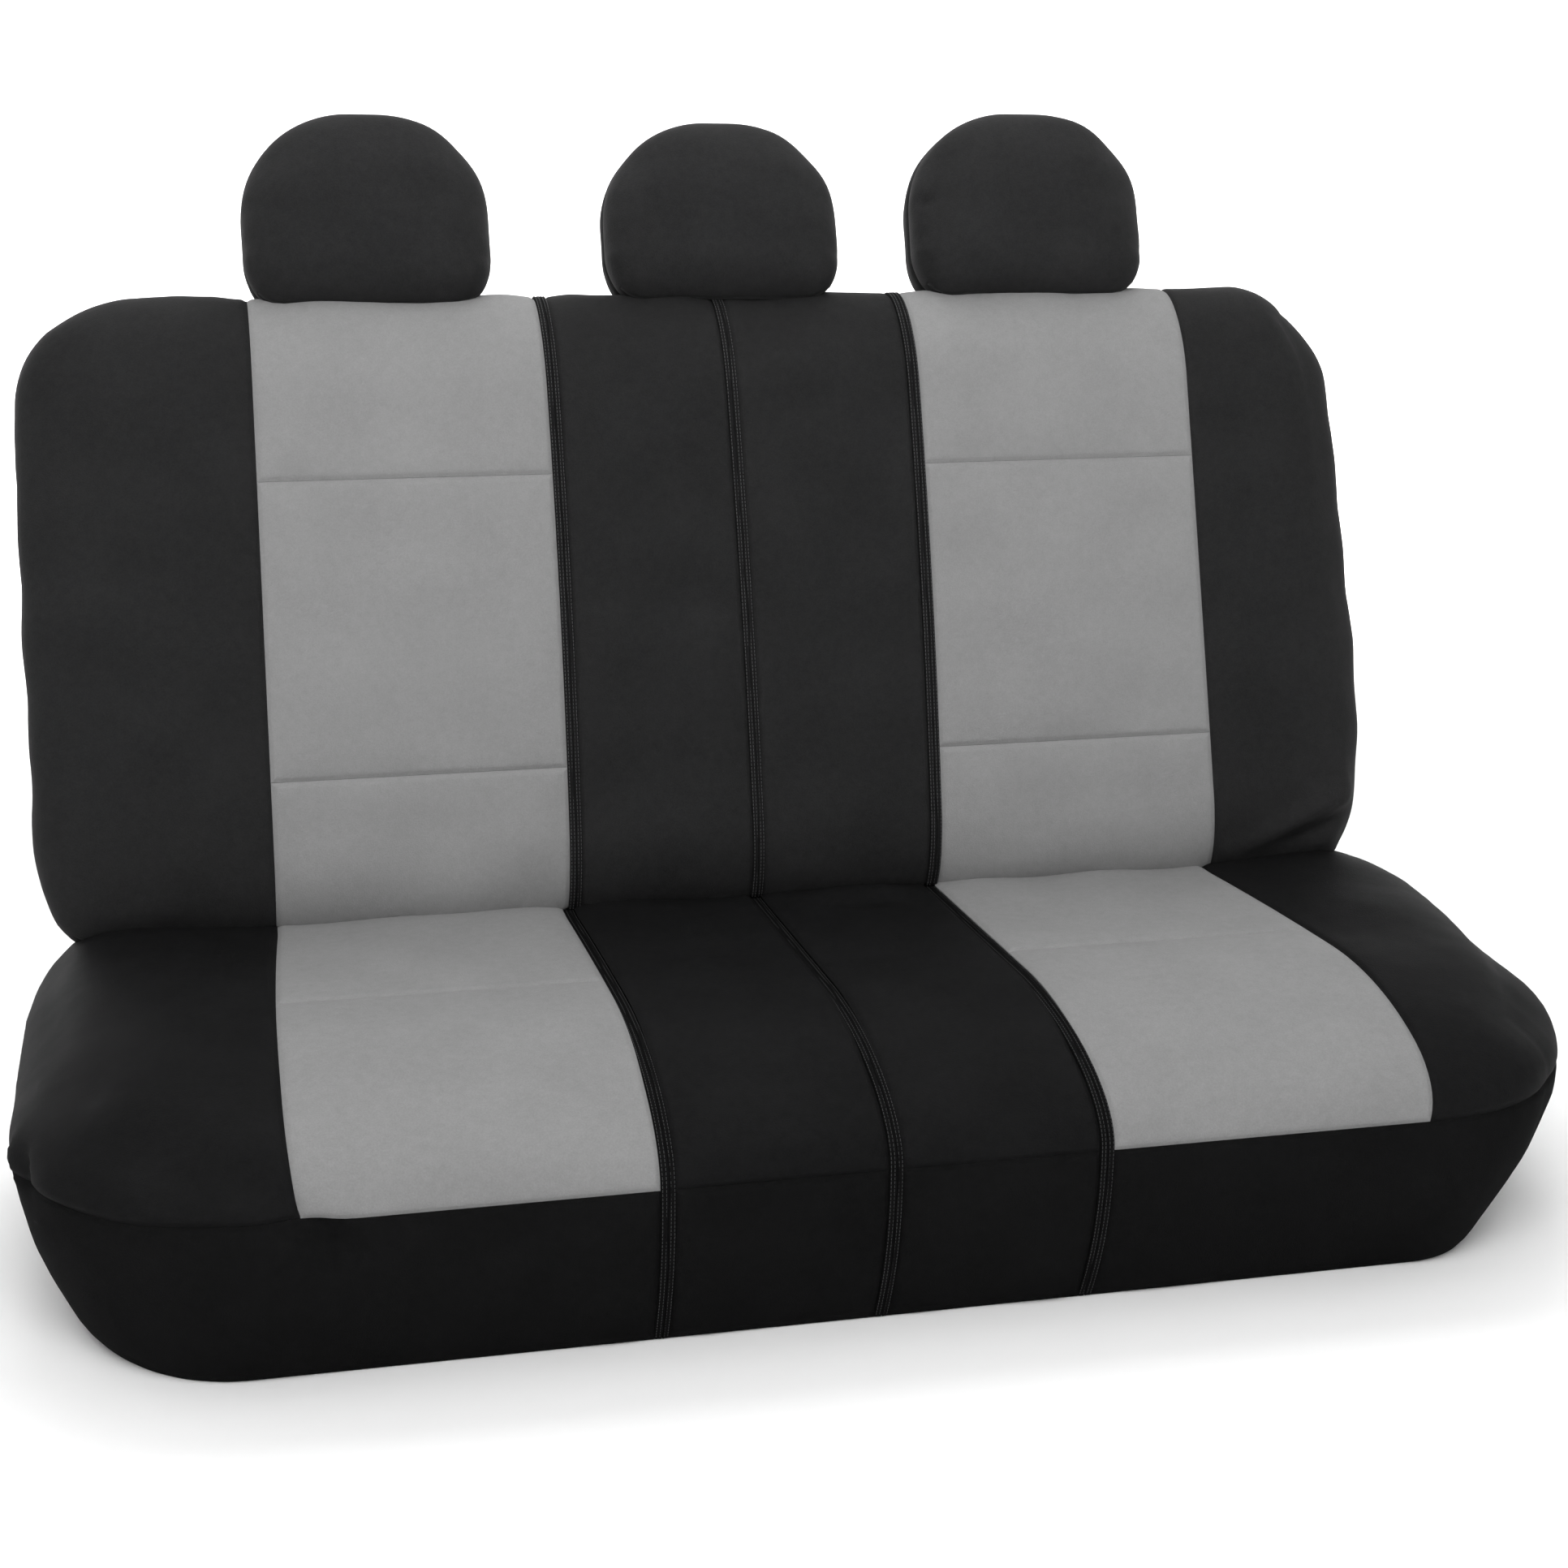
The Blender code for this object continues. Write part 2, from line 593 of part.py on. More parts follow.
def build():
    clear_scene()
    sliders = slider_mesh()
    pulls = pull_mesh()
    cushion = cushion_box()
    spans = column_spans(CUSHION_HALF_WIDTH)
    cushion_top_panels(cushion, spans)
    cushion_skirts(cushion, spans)
    cushion_zips(cushion, spans, sliders, pulls)
    under_straps(cushion)
    backrest = backrest_box()
    spans = column_spans(BACK_HALF_WIDTH)
    frames = {}
    for side in HEADREST_CENTRES:
        frames[side] = new_frame(side + "_fold_axis", CREASE, tilt=-RECLINE)
    outer_section(backrest, spans, "left", LOW, frames["left"])
    outer_section(backrest, spans, "right", HIGH, frames["right"])
    centre_section(backrest, spans, frames["centre"], sliders, pulls)
    for side, x in HEADREST_CENTRES.items():
        headrest_cover(side, new_frame(side + "_headrest_slide", (x, 0.0, 0.0), frames[side]))
    bpy.context.view_layer.update()


build()
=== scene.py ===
"""Looks of the rear bench seat cover set: stretched fabric panels, folded zip facings, stitching and hems.

Every panel is a fine grid on the same rounded forms that the CAD uses. Their sizes come from the frame.
The backrest and headrest covers are drawn upright in the crease's own frame, which leans back.
"""
import json
from math import atan2
from math import radians
from math import tan

import bmesh
import bpy
import numpy as np
from mathutils import Matrix
from mathutils import Vector


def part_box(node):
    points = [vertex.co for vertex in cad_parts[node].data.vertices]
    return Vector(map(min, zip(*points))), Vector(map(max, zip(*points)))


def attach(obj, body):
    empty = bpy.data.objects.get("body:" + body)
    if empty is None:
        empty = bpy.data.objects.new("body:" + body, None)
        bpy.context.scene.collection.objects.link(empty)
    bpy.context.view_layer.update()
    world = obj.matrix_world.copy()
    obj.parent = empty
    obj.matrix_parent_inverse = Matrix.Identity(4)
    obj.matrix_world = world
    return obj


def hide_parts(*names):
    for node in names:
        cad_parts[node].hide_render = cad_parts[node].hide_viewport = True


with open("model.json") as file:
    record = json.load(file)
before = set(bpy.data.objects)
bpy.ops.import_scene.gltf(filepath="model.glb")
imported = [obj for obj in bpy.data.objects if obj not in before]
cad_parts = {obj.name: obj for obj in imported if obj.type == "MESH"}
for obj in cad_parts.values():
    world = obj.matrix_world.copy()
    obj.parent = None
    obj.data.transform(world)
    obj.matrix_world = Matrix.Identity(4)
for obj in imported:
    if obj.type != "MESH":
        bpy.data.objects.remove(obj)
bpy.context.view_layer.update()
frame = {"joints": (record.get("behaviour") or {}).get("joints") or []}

X, Y, Z = 0, 1, 2
LOW, HIGH = 0, 1
ROOT = "cushion_cover"


def joint(name):
    return next(item for item in frame["joints"] if item["name"] == name)


# The crease, the lean of the backrest and the seam lines, from the frame.
CREASE = Vector(joint("centre_section_fold")["pos_m"])
CREASE.x = 0.0
LEAN = joint("centre_headrest_lift")["axis"]
RECLINE = atan2(LEAN[1], LEAN[2])
BACK_FRAME = Matrix.Translation(CREASE) @ Matrix.Rotation(-RECLINE, 4, "X")
SEAT_FRAME = Matrix.Identity(4)
HALF_GAP = 0.00025
ZIP_LINE = -sum(corner.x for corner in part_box("left_back_zip")) / 2.0
ZIP_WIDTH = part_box("left_back_zip")[1].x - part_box("left_back_zip")[0].x + 2.0 * HALF_GAP
BOLSTER_SEAM = -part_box("left_back_insert_middle")[0].x + HALF_GAP
SKIRT_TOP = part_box("left_skirt")[1].z + HALF_GAP

# Shifts of the real covers' seam lines from the even form. Each row runs across the bench: left edge,
# left bolster seam, left zip, middle, right zip, right bolster seam, right edge. The rows are low, middle
# and high on the backrest, and rear, middle and front on the cushion.
BACK_SHIFTS = (
    (-0.013, 0.000, 0.008, 0.001, -0.008, 0.013, -0.014),
    (-0.016, 0.003, 0.013, 0.002, -0.003, 0.009, -0.016),
    (-0.010, 0.006, 0.010, -0.004, -0.008, 0.004, -0.034),
)
SEAT_SHIFTS = (
    (-0.014, 0.000, 0.001, 0.000, -0.010, 0.003, 0.004),
    (-0.010, -0.006, 0.008, 0.003, -0.009, 0.013, 0.000),
    (0.004, -0.003, 0.010, 0.006, -0.006, 0.009, -0.020),
)

# Cushion form.
SEAT_HALF = 0.690
SEAT_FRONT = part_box("centre_skirt_left")[0].y
SEAT_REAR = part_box("centre_rear_skirt_left")[1].y
SEAT_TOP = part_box("cushion_centre_left")[1].z
SEAT_CORNER = (0.180, 0.230)
SEAT_REAR_ROLL = 0.080
SEAT_TOP_ROLL = 0.085
SEAT_FLARE = 0.030
SEAT_CROSS_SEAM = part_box("left_cushion_insert_front")[1].y + HALF_GAP
SIDE_TUCKS = (0.050, 0.078)
SEAT_REAR_SIDE_RADIUS = 0.080
SEAT_RIGHT_CORNER = 0.210
SEAT_CORNER_START = 0.05
SEAT_CORNER_RUN = 0.36
SEAT_SHIFT_END = 0.100
SEAT_SHIFT_FADE = 0.070
WALL_LEAN = 0.008
WALL_LEAN_SPREAD = 0.10
FRONT_TUCK = 0.044
HEM = 0.020

# Backrest form, up its slope from the crease.
BACK_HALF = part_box("right_back_bolster")[1].x
BACK_BOTTOM = 0.003
BACK_TOP = 0.612
BACK_THICK = 0.135
BACK_CORNER = 0.100
BACK_LOWER_CORNER = 0.050
BACK_LOWER_ROLL = 0.084
BACK_FRONT_ROLL = 0.042
BACK_TOP_FRONT_ROLL = 0.062
BACK_DEEPER_START = 0.40
BACK_DEEPER_RUN = 0.19
BACK_RISE = (0.009, 0.004, 0.004)
BACK_RIGHT_CORNER = 0.125
BACK_REAR_ROLL = 0.040
BACK_SHIFT_START = 0.070
BACK_SHIFT_FADE = 0.050
PINCH = 0.014
PINCH_HEIGHT = 0.03
PINCH_SPREAD = 0.07
PINCH_START = 0.50
PINCH_RUN = 0.15
LOWER_CROSS_SEAM = 0.150
UPPER_CROSS_SEAM = 0.434
REAR_YOKE_SEAM = 0.500

# Headrest form, from the same crease. Each cover: its centre across the bench, half width and top.
HEAD_BOTTOM = 0.6065
HEADRESTS = {
    "left": (-0.346, 0.1195, 0.797),
    "centre": (0.007, 0.1185, 0.788),
    "right": (0.327, 0.1215, 0.797),
}
HEAD_FRONT = 0.008
HEAD_THICK = 0.114
HEAD_DOME = 0.106
HEAD_LOWER_CORNER = 0.040
HEAD_LOWER_ROLL = 0.050
HEAD_EDGE_ROLL = 0.050

# Fabric.
FABRIC = 0.0026
CELL = 0.009
SEAM_STEPS = (0.0009, 0.0019, 0.0031, 0.0048, 0.0075)
LEAST_CELL = 0.0025
WELD = 0.00002
SEAM_DIP = 0.0024
SEAM_SOFTNESS = 0.0032
PILLOW = 0.0018
PILLOW_REACH = 0.035
TURN = tan(radians(22.5))

HALF_ZIP = ZIP_WIDTH / 2.0
HEAD_MIDDLE = HEAD_FRONT + HEAD_THICK / 2.0
COLUMN_SEAMS = [side * (x + half) for side in (-1, 1) for x, half in (
    (BOLSTER_SEAM, 0.0), (ZIP_LINE, HALF_ZIP), (ZIP_LINE, -HALF_ZIP), (0.0, HALF_ZIP))]
# Where a span's end is sewn to its neighbour, by axis.
SEAMS = {
    X: COLUMN_SEAMS,
    Y: (SEAT_CROSS_SEAM, HEAD_MIDDLE),
    Z: (SKIRT_TOP, LOWER_CROSS_SEAM, UPPER_CROSS_SEAM, REAR_YOKE_SEAM),
}


def smooth(t):
    t = np.clip(t, 0.0, 1.0)
    return t * t * (3.0 - 2.0 * t)


class Waves:
    """A slow random undulation of stretched fabric: a sum of sine waves in space, in metres."""

    def __init__(self, seed, height, shortest, longest, count=14):
        random = np.random.default_rng(seed)
        direction = random.normal(size=(count, 3))
        direction /= np.linalg.norm(direction, axis=1)[:, None]
        length = np.exp(random.uniform(np.log(shortest), np.log(longest), count))
        self.wave = direction * (2.0 * np.pi / length)[:, None]
        self.phase = random.uniform(0.0, 2.0 * np.pi, count)
        self.height = height / np.sqrt(count / 2.0)

    def at(self, points):
        return self.height * np.sin(points @ self.wave.T + self.phase).sum(axis=1)


class RoundedBox:
    """A box with elliptical edge radii, one for each of its six sides, evaluated for many points at once."""

    def __init__(self, low, high, low_radii, high_radii, lower_side_radius=None):
        self.low = np.array(low, float)
        self.high = np.array(high, float)
        self.low_radii = np.array(low_radii, float)
        self.high_radii = np.array(high_radii, float)
        self.lower_side_radius = lower_side_radius

    def radii(self, place):
        """The edge radii at each place. The side radius may change from the bottom to the top."""
        low_radii = np.repeat(self.low_radii[None], len(place), axis=0)
        high_radii = np.repeat(self.high_radii[None], len(place), axis=0)
        if self.lower_side_radius is not None:
            rise = smooth((place[:, Z] - self.low[Z]) / (self.high[Z] - self.low[Z]))
            low_radii[:, X] = self.lower_side_radius + (self.low_radii[X] - self.lower_side_radius) * rise
            high_radii[:, X] = self.lower_side_radius + (self.high_radii[X] - self.lower_side_radius) * rise
        return low_radii, high_radii

    def shape(self, place):
        """Points on the rounded surface and their outward normals."""
        low_radii, high_radii = self.radii(place)
        core = np.minimum(np.maximum(place, self.low + low_radii), self.high - high_radii)
        radii = np.where(place < core, low_radii, high_radii)
        offset = np.divide(place - core, radii, out=np.zeros_like(place), where=radii > 0.0)
        offset /= np.maximum(np.linalg.norm(offset, axis=1), 1e-9)[:, None]
        normal = np.divide(offset, radii, out=np.zeros_like(place), where=radii > 0.0)
        normal /= np.maximum(np.linalg.norm(normal, axis=1), 1e-9)[:, None]
        return core + radii * offset, normal


def lopsided(x, share, shifts, half):
    """Sideways shift of the real covers' seam lines: a curve through a low, middle and high row."""
    columns = (-half, -BOLSTER_SEAM, -ZIP_LINE, 0.0, ZIP_LINE, BOLSTER_SEAM, half)
    low, middle, high = (np.interp(x, columns, shift) for shift in shifts)
    share = np.clip(share, 0.0, 1.0)
    bow = middle - (low + high) / 2.0
    return low + (high - low) * share + bow * 4.0 * share * (1.0 - share)


class BackBox(RoundedBox):
    """The backrest's form. Its front rolls over deeper at the top, and its lower right corner is pinched.

    The shifts fade towards the rear, so that the sliders stay on their zips.
    """

    def radii(self, place):
        low_radii, high_radii = super().radii(place)
        deeper = smooth((place[:, Z] - BACK_DEEPER_START) / BACK_DEEPER_RUN)
        low_radii[:, Y] += (BACK_TOP_FRONT_ROLL - low_radii[:, Y]) * deeper
        return low_radii, high_radii

    def shape(self, place):
        point, normal = super().shape(place)
        share = (point[:, Z] - BACK_BOTTOM) / (BACK_TOP - BACK_BOTTOM)
        seen = 1.0 - smooth((point[:, Y] - BACK_SHIFT_START) / BACK_SHIFT_FADE)
        point[:, X] += lopsided(place[:, X], share, BACK_SHIFTS, BACK_HALF) * seen
        point[:, Z] += np.interp(place[:, X], (-BACK_HALF, 0.0, BACK_HALF), BACK_RISE) * share ** 4
        pinched = np.exp(-((point[:, Z] - PINCH_HEIGHT) / PINCH_SPREAD) ** 2)
        point[:, X] -= PINCH * pinched * smooth((place[:, X] - PINCH_START) / PINCH_RUN)
        return point, normal


class SeatBox(RoundedBox):
    """The cushion's form: it widens to the front, and its skirt tucks in down to a turned hem.

    A place below zero is on the hem, which turns in by as much as the place is below.
    """

    def radii(self, place):
        low_radii, high_radii = super().radii(place)
        ahead = smooth((CREASE.y - SEAT_CORNER_START - place[:, Y]) / SEAT_CORNER_RUN)
        low_radii[:, X] = SEAT_REAR_SIDE_RADIUS + (low_radii[:, X] - SEAT_REAR_SIDE_RADIUS) * ahead
        high_radii[:, X] = SEAT_REAR_SIDE_RADIUS + (high_radii[:, X] - SEAT_REAR_SIDE_RADIUS) * ahead
        return low_radii, high_radii

    def shape(self, place):
        turned_in = np.maximum(0.0, -place[:, Z])
        flat = place.copy()
        flat[:, Z] = np.maximum(0.0, place[:, Z])
        point, normal = super().shape(flat)
        down = np.maximum(0.0, 1.0 - point[:, Z] / SKIRT_TOP)
        side_tuck = np.where(place[:, X] > 0.0, SIDE_TUCKS[HIGH], SIDE_TUCKS[LOW])
        front_tuck = np.where(normal[:, Y] < 0.0, FRONT_TUCK, 0.0)
        point[:, X] -= normal[:, X] * (side_tuck * down ** 1.5 + turned_in)
        point[:, Y] -= normal[:, Y] * (front_tuck * down ** 2 + turned_in)
        ahead = (CREASE.y - point[:, Y]) / (CREASE.y - SEAT_FRONT)
        point[:, X] *= 1.0 + SEAT_FLARE * ahead
        seen = smooth((CREASE.y + SEAT_SHIFT_END - point[:, Y]) / SEAT_SHIFT_FADE)
        point[:, X] += lopsided(place[:, X], ahead, SEAT_SHIFTS, SEAT_HALF) * seen
        wall = np.clip((SEAT_TOP - point[:, Z]) / (SEAT_TOP - SKIRT_TOP), 0.0, 1.0) ** 2
        near_seam = np.exp(-((np.abs(place[:, X]) - BOLSTER_SEAM) / WALL_LEAN_SPREAD) ** 2)
        front_quarter = smooth(ahead * 4.0 - 3.0)
        point[:, X] -= np.sign(place[:, X]) * WALL_LEAN * wall * near_seam * front_quarter
        under = turned_in > 0.0
        normal[under] = (0.0, 0.0, -1.0)
        return point, normal


def grid_lines(low, high, low_radius, high_radius, start, end, seams):
    """Grid lines of one span: even cells, finer steps in the rolls and beside the seams at its ends."""
    lines = set()
    steps = max(2, int(round(max(low_radius, high_radius) / CELL)))
    for step in range(steps + 1):
        reach = tan(radians(45.0) * step / steps)
        lines.add(low + low_radius * (1.0 - reach))
        lines.add(high - high_radius * (1.0 - reach))
    flat_low, flat_high = low + low_radius, high - high_radius
    count = max(1, int(round((flat_high - flat_low) / CELL)))
    lines.update(np.linspace(flat_low, flat_high, count + 1))
    beside = []
    for seam, inward in seams:
        beside += [seam + inward * step for step in SEAM_STEPS]
    kept = [line for line in lines if start < line < end]
    kept = [line for line in kept if all(abs(line - near) > LEAST_CELL for near in beside + [start, end])]
    inside = [line for line in beside if start < line < end]
    return sorted({start, end, *kept, *inside})


def is_seam(axis, value):
    """Whether a span that ends here is sewn to its neighbour. Other ends are folds or free hems."""
    return any(abs(value - seam) < 1e-6 for seam in SEAMS[axis])


def grid_faces(shape):
    index = np.arange(shape[0] * shape[1]).reshape(shape)
    corners = [index[:-1, :-1], index[:-1, 1:], index[1:, 1:], index[1:, :-1]]
    return np.stack(corners, axis=-1).reshape(-1, 4)


class Cloth:
    """Builds the grid of one panel from patches of a rounded box, and lifts it along its normals."""

    def __init__(self, box, height, sway=None):
        self.box = box
        self.height = height
        self.sway = sway
        self.points = []
        self.faces = []
        self.count = 0

    def add(self, axis, end, u_span, v_span, fine_u=None):
        """One patch: a side of the box between two spans. The fabric dips at the ends that are seams."""
        box = self.box
        axes = [other for other in range(3) if other != axis]
        lines = []
        seams = []
        for other, span in zip(axes, (u_span, v_span)):
            low, high = box.low[other], box.high[other]
            ends = []
            if is_seam(other, span[0]):
                ends.append((span[0], 1.0))
            if is_seam(other, span[1]):
                ends.append((span[1], -1.0))
            seams += [(other, value) for value, _ in ends]
            radii = (box.low_radii[other], box.high_radii[other])
            lines.append(grid_lines(low, high, *radii, *span, ends))
        if fine_u is not None:
            lines[0] = fine_u
        u, v = np.meshgrid(lines[0], lines[1])
        place = np.empty((u.size, 3))
        place[:, axis] = box.high[axis] if end == HIGH else box.low[axis]
        place[:, axes[0]] = u.ravel()
        place[:, axes[1]] = v.ravel()
        distance = np.full(u.size, 1.0)
        for other, value in seams:
            distance = np.minimum(distance, np.abs(place[:, other] - value))
        point, normal = box.shape(place)
        lift = self.height(place, point, distance, (axis, end))
        point += normal * lift[:, None]
        if self.sway is not None:
            point[:, X] += self.sway(place, point)
        self.points.append(point)
        quads = grid_faces(u.shape) + self.count
        if (end == HIGH) == (axis == Y):
            quads = quads[:, ::-1]
        self.faces.append(quads)
        self.count += u.size

    def mesh(self, name, matrix):
        points = np.concatenate(self.points)
        faces = np.concatenate(self.faces)
        data = bpy.data.meshes.new(name)
        data.from_pydata(points.tolist(), [], faces.tolist())
        welded = bmesh.new()
        welded.from_mesh(data)
        bmesh.ops.remove_doubles(welded, verts=welded.verts, dist=WELD)
        welded.to_mesh(data)
        welded.free()
        data.transform(matrix)
        data.shade_smooth()
        return data


def new_object(name, data):
    item = bpy.data.objects.new(name, data)
    bpy.context.scene.collection.objects.link(item)
    return item


def link(name, data, material, slot, body, *nodes):
    """A new piece that rides on a body and stands for the CAD nodes named last."""
    piece = new_object(name, data)
    data.materials.append(material)
    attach(piece, body)
    if nodes:
        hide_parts(*nodes)
    return piece


def add_thickness(piece, thickness):
    shell = piece.modifiers.new("fabric", "SOLIDIFY")
    shell.thickness = thickness
    shell.offset = -1.0
    shell.use_even_offset = False


def cloth_panel(name, box, patches, height, matrix, material, slot, body, flat):
    cloth = Cloth(box, height)
    for patch in patches:
        cloth.add(*patch)
    piece = link(name, cloth.mesh(name, matrix), material, slot, body, name.replace("_cloth", ""))
    add_thickness(piece, FABRIC)


# ---------------------------- materials

class Look:
    """A node material under construction, with its textures in the object's own coordinates."""

    def __init__(self, name, **values):
        self.material = bpy.data.materials.new(name)
        self.material.use_nodes = True
        self.nodes = self.material.node_tree.nodes
        self.join = self.material.node_tree.links.new
        self.inputs = self.nodes["Principled BSDF"].inputs
        self.set(self.nodes["Principled BSDF"], values)

    def set(self, node, values):
        for name, value in values.items():
            node.inputs[name.replace("_", " ")].default_value = value

    def texture(self, kind, **values):
        node = self.nodes.new("ShaderNodeTex" + kind)
        self.set(node, values)
        self.join(self.nodes.new("ShaderNodeTexCoord").outputs["Object"], node.inputs["Vector"])
        return node

    def mix(self, first, second, factor):
        """A number between two outputs."""
        node = self.nodes.new("ShaderNodeMix")
        node.inputs["Factor"].default_value = factor
        self.join(first, node.inputs[2])
        self.join(second, node.inputs[3])
        return node.outputs[0]

    def colour(self, first, second, factor):
        """Paints the surface between two colours, as an output drives it."""
        node = self.nodes.new("ShaderNodeMix")
        node.data_type = "RGBA"
        node.inputs[6].default_value = (*first, 1.0)
        node.inputs[7].default_value = (*second, 1.0)
        self.join(factor, node.inputs["Factor"])
        self.join(node.outputs[2], self.inputs["Base Color"])

    def remap(self, value, **limits):
        node = self.nodes.new("ShaderNodeMapRange")
        self.set(node, limits)
        self.join(value, node.inputs["Value"])
        return node.outputs["Result"]

    def bump(self, height, strength, distance):
        node = self.nodes.new("ShaderNodeBump")
        self.set(node, {"Strength": strength, "Distance": distance})
        self.join(height, node.inputs["Height"])
        self.join(node.outputs["Normal"], self.inputs["Normal"])


def fabric_material(name, colour, grain, sheen, gloss, smoothness=0.0):
    """Fine laminated knit: mottled colour, a ribbed grain under a millimetre and a soft sheen."""
    look = Look(name, Sheen_Weight=sheen, Sheen_Roughness=0.45, Specular_IOR_Level=gloss)
    broad = look.texture("Noise", Scale=14.0, Detail=6.0)
    patchy = look.texture("Noise", Scale=130.0, Detail=5.0)
    fine = look.texture("Noise", Scale=650.0, Detail=3.0)
    knit = look.texture("Voronoi", Scale=820.0)
    slow = look.mix(broad.outputs["Fac"], patchy.outputs["Fac"], 0.5)
    blend = look.mix(slow, fine.outputs["Fac"], 0.45)
    dark, light = ([channel * (1.0 + side * grain) for channel in colour] for side in (-1.0, 1.0))
    look.colour(dark, light, look.remap(blend, From_Min=0.35, From_Max=0.65))
    rough = look.remap(fine.outputs["Fac"], To_Min=0.78 - smoothness, To_Max=0.95 - smoothness)
    look.join(rough, look.inputs["Roughness"])
    weave = look.nodes.new("ShaderNodeMath")
    look.join(knit.outputs["Distance"], weave.inputs[0])
    look.join(fine.outputs["Fac"], weave.inputs[1])
    look.bump(weave.outputs[0], 0.35, 0.0004)
    return look.material


def thread_material(name, colour):
    """Twisted polyester thread: fine diagonal strands."""
    look = Look(name, Roughness=0.55)
    strand = look.texture("Wave", Scale=900.0)
    strand.bands_direction = "DIAGONAL"
    look.colour([channel * 0.75 for channel in colour], colour, strand.outputs["Fac"])
    look.bump(strand.outputs["Fac"], 0.4, 0.0002)
    return look.material


def lacquer_material(name):
    """Black lacquered zinc, worn lighter in patches."""
    look = Look(name, Metallic=0.85)
    wear = look.texture("Noise", Scale=420.0, Detail=8.0).outputs["Fac"]
    look.colour((0.018, 0.018, 0.020), (0.16, 0.16, 0.17), look.remap(wear, From_Min=0.55, From_Max=0.80))
    look.join(look.remap(wear, To_Min=0.25, To_Max=0.50), look.inputs["Roughness"])
    return look.material


def floor_material(name):
    """Pale matt floor with a faint speckle, in the floor's own generated coordinates."""
    look = Look(name, Roughness=0.9, Specular_IOR_Level=0.1)
    speckle = look.nodes.new("ShaderNodeTexNoise")
    speckle.inputs["Scale"].default_value = 40.0
    look.colour((0.90, 0.90, 0.90), (0.94, 0.94, 0.94), speckle.outputs["Fac"])
    return look.material


# Name, colour, grain, sheen, gloss, smoothness.
BACK_BLACK = fabric_material("back_black", (0.0150, 0.0150, 0.0152), 0.30, 0.02, 0.08, 0.10)
# Painted shade: the cushion's black is a darker copy of the backrest's black fabric, for the weaker light on
# its upward faces.
SEAT_BLACK_PAINTED_SHADE = fabric_material("seat_black_painted_shade", (0.0068, 0.0068, 0.0070), 0.34, 0.0, 0.035, 0.20)
# Painted shade: the skirts' black is a darker copy still, for the little light that reaches their low,
# outward faces.
SKIRT_BLACK_PAINTED_SHADE = fabric_material("skirt_black", (0.0060, 0.0060, 0.0061), 0.30, 0.0, 0.02)
# Painted light: the headrests' black is a slightly lighter copy of the same fabric, for the light that falls
# on them from above.
HEAD_BLACK_PAINTED_LIGHT = fabric_material("head_black_painted_light", (0.0170, 0.0170, 0.0173), 0.30, 0.04, 0.10)
GREY = fabric_material("grey_insert", (0.232, 0.232, 0.232), 0.08, 0.03, 0.12)
# Painted shade: the cushion's grey is a darker copy of the backrest's grey insert fabric, for the weaker
# light on the seat.
SEAT_GREY_PAINTED_SHADE = fabric_material("seat_grey_insert_painted_shade", (0.214, 0.214, 0.214), 0.10, 0.03, 0.12)
BACK_FACING = fabric_material("back_zip_facing", (0.0105, 0.0105, 0.0107), 0.30, 0.0, 0.06)
# Painted shade: the cushion's zip facing is a darker copy of the backrest's, to match the shaded cushion.
SEAT_FACING_PAINTED_SHADE = fabric_material("seat_zip_facing_painted_shade", (0.0052, 0.0052, 0.0053), 0.30, 0.0, 0.02)
ELASTIC = fabric_material("elastic_band", (0.018, 0.018, 0.018), 0.20, 0.10, 0.20)
BACK_THREAD = thread_material("back_thread", (0.085, 0.085, 0.086))
# Painted shade: the cushion's thread is a darker copy of the backrest's thread, to match the shaded cushion.
SEAT_THREAD_PAINTED_SHADE = thread_material("seat_thread_painted_shade", (0.032, 0.032, 0.033))
GREY_THREAD = thread_material("grey_thread", (0.40, 0.40, 0.40))
LACQUER = lacquer_material("zinc_lacquer")


# ---------------------------- the lie of the fabric

SLACK = Waves(seed=3, height=0.0013, shortest=0.07, longest=0.30)
SLACK_START = 0.03
RIPPLE = Waves(seed=11, height=0.00012, shortest=0.020, longest=0.050)
RIPPLE_START = 0.02
FOLD_START = 0.012
HEM_START = 0.012
HEAD_SLACK = 0.7
HEAD_SLACK_SCALE = 1.6

# The cushion's crown, and the ridge of each bolster, with the distances over which they fade.
CROWN = 0.0045
CROWN_FRONT = 0.22
CROWN_REAR = 0.10
CROWN_SIDE = 0.16
BOLSTER_CROWN = 0.010
BOLSTER_RIDGE = 0.610
BOLSTER_SPREAD = 0.075
BOLSTER_START = 0.05
BOLSTER_FRONT = 0.30
BOLSTER_REAR = 0.14
BOLSTER_SIDE = 0.06


def fold(point, start, end, height, width):
    """A soft fold of the fabric along a line in space: a ridge, or a dent, that fades at both ends."""
    start = np.array(start)
    run = np.array(end) - start
    share = np.clip((point - start) @ run / (run @ run), 0.0, 1.0)
    distance = np.linalg.norm(point - start - share[:, None] * run, axis=1)
    fade = smooth(share / 0.3) * smooth((1.0 - share) / 0.4)
    return height * np.exp(-(distance / width) ** 2) * fade


def folds(point, marks):
    return sum(fold(point, *mark) for mark in marks)


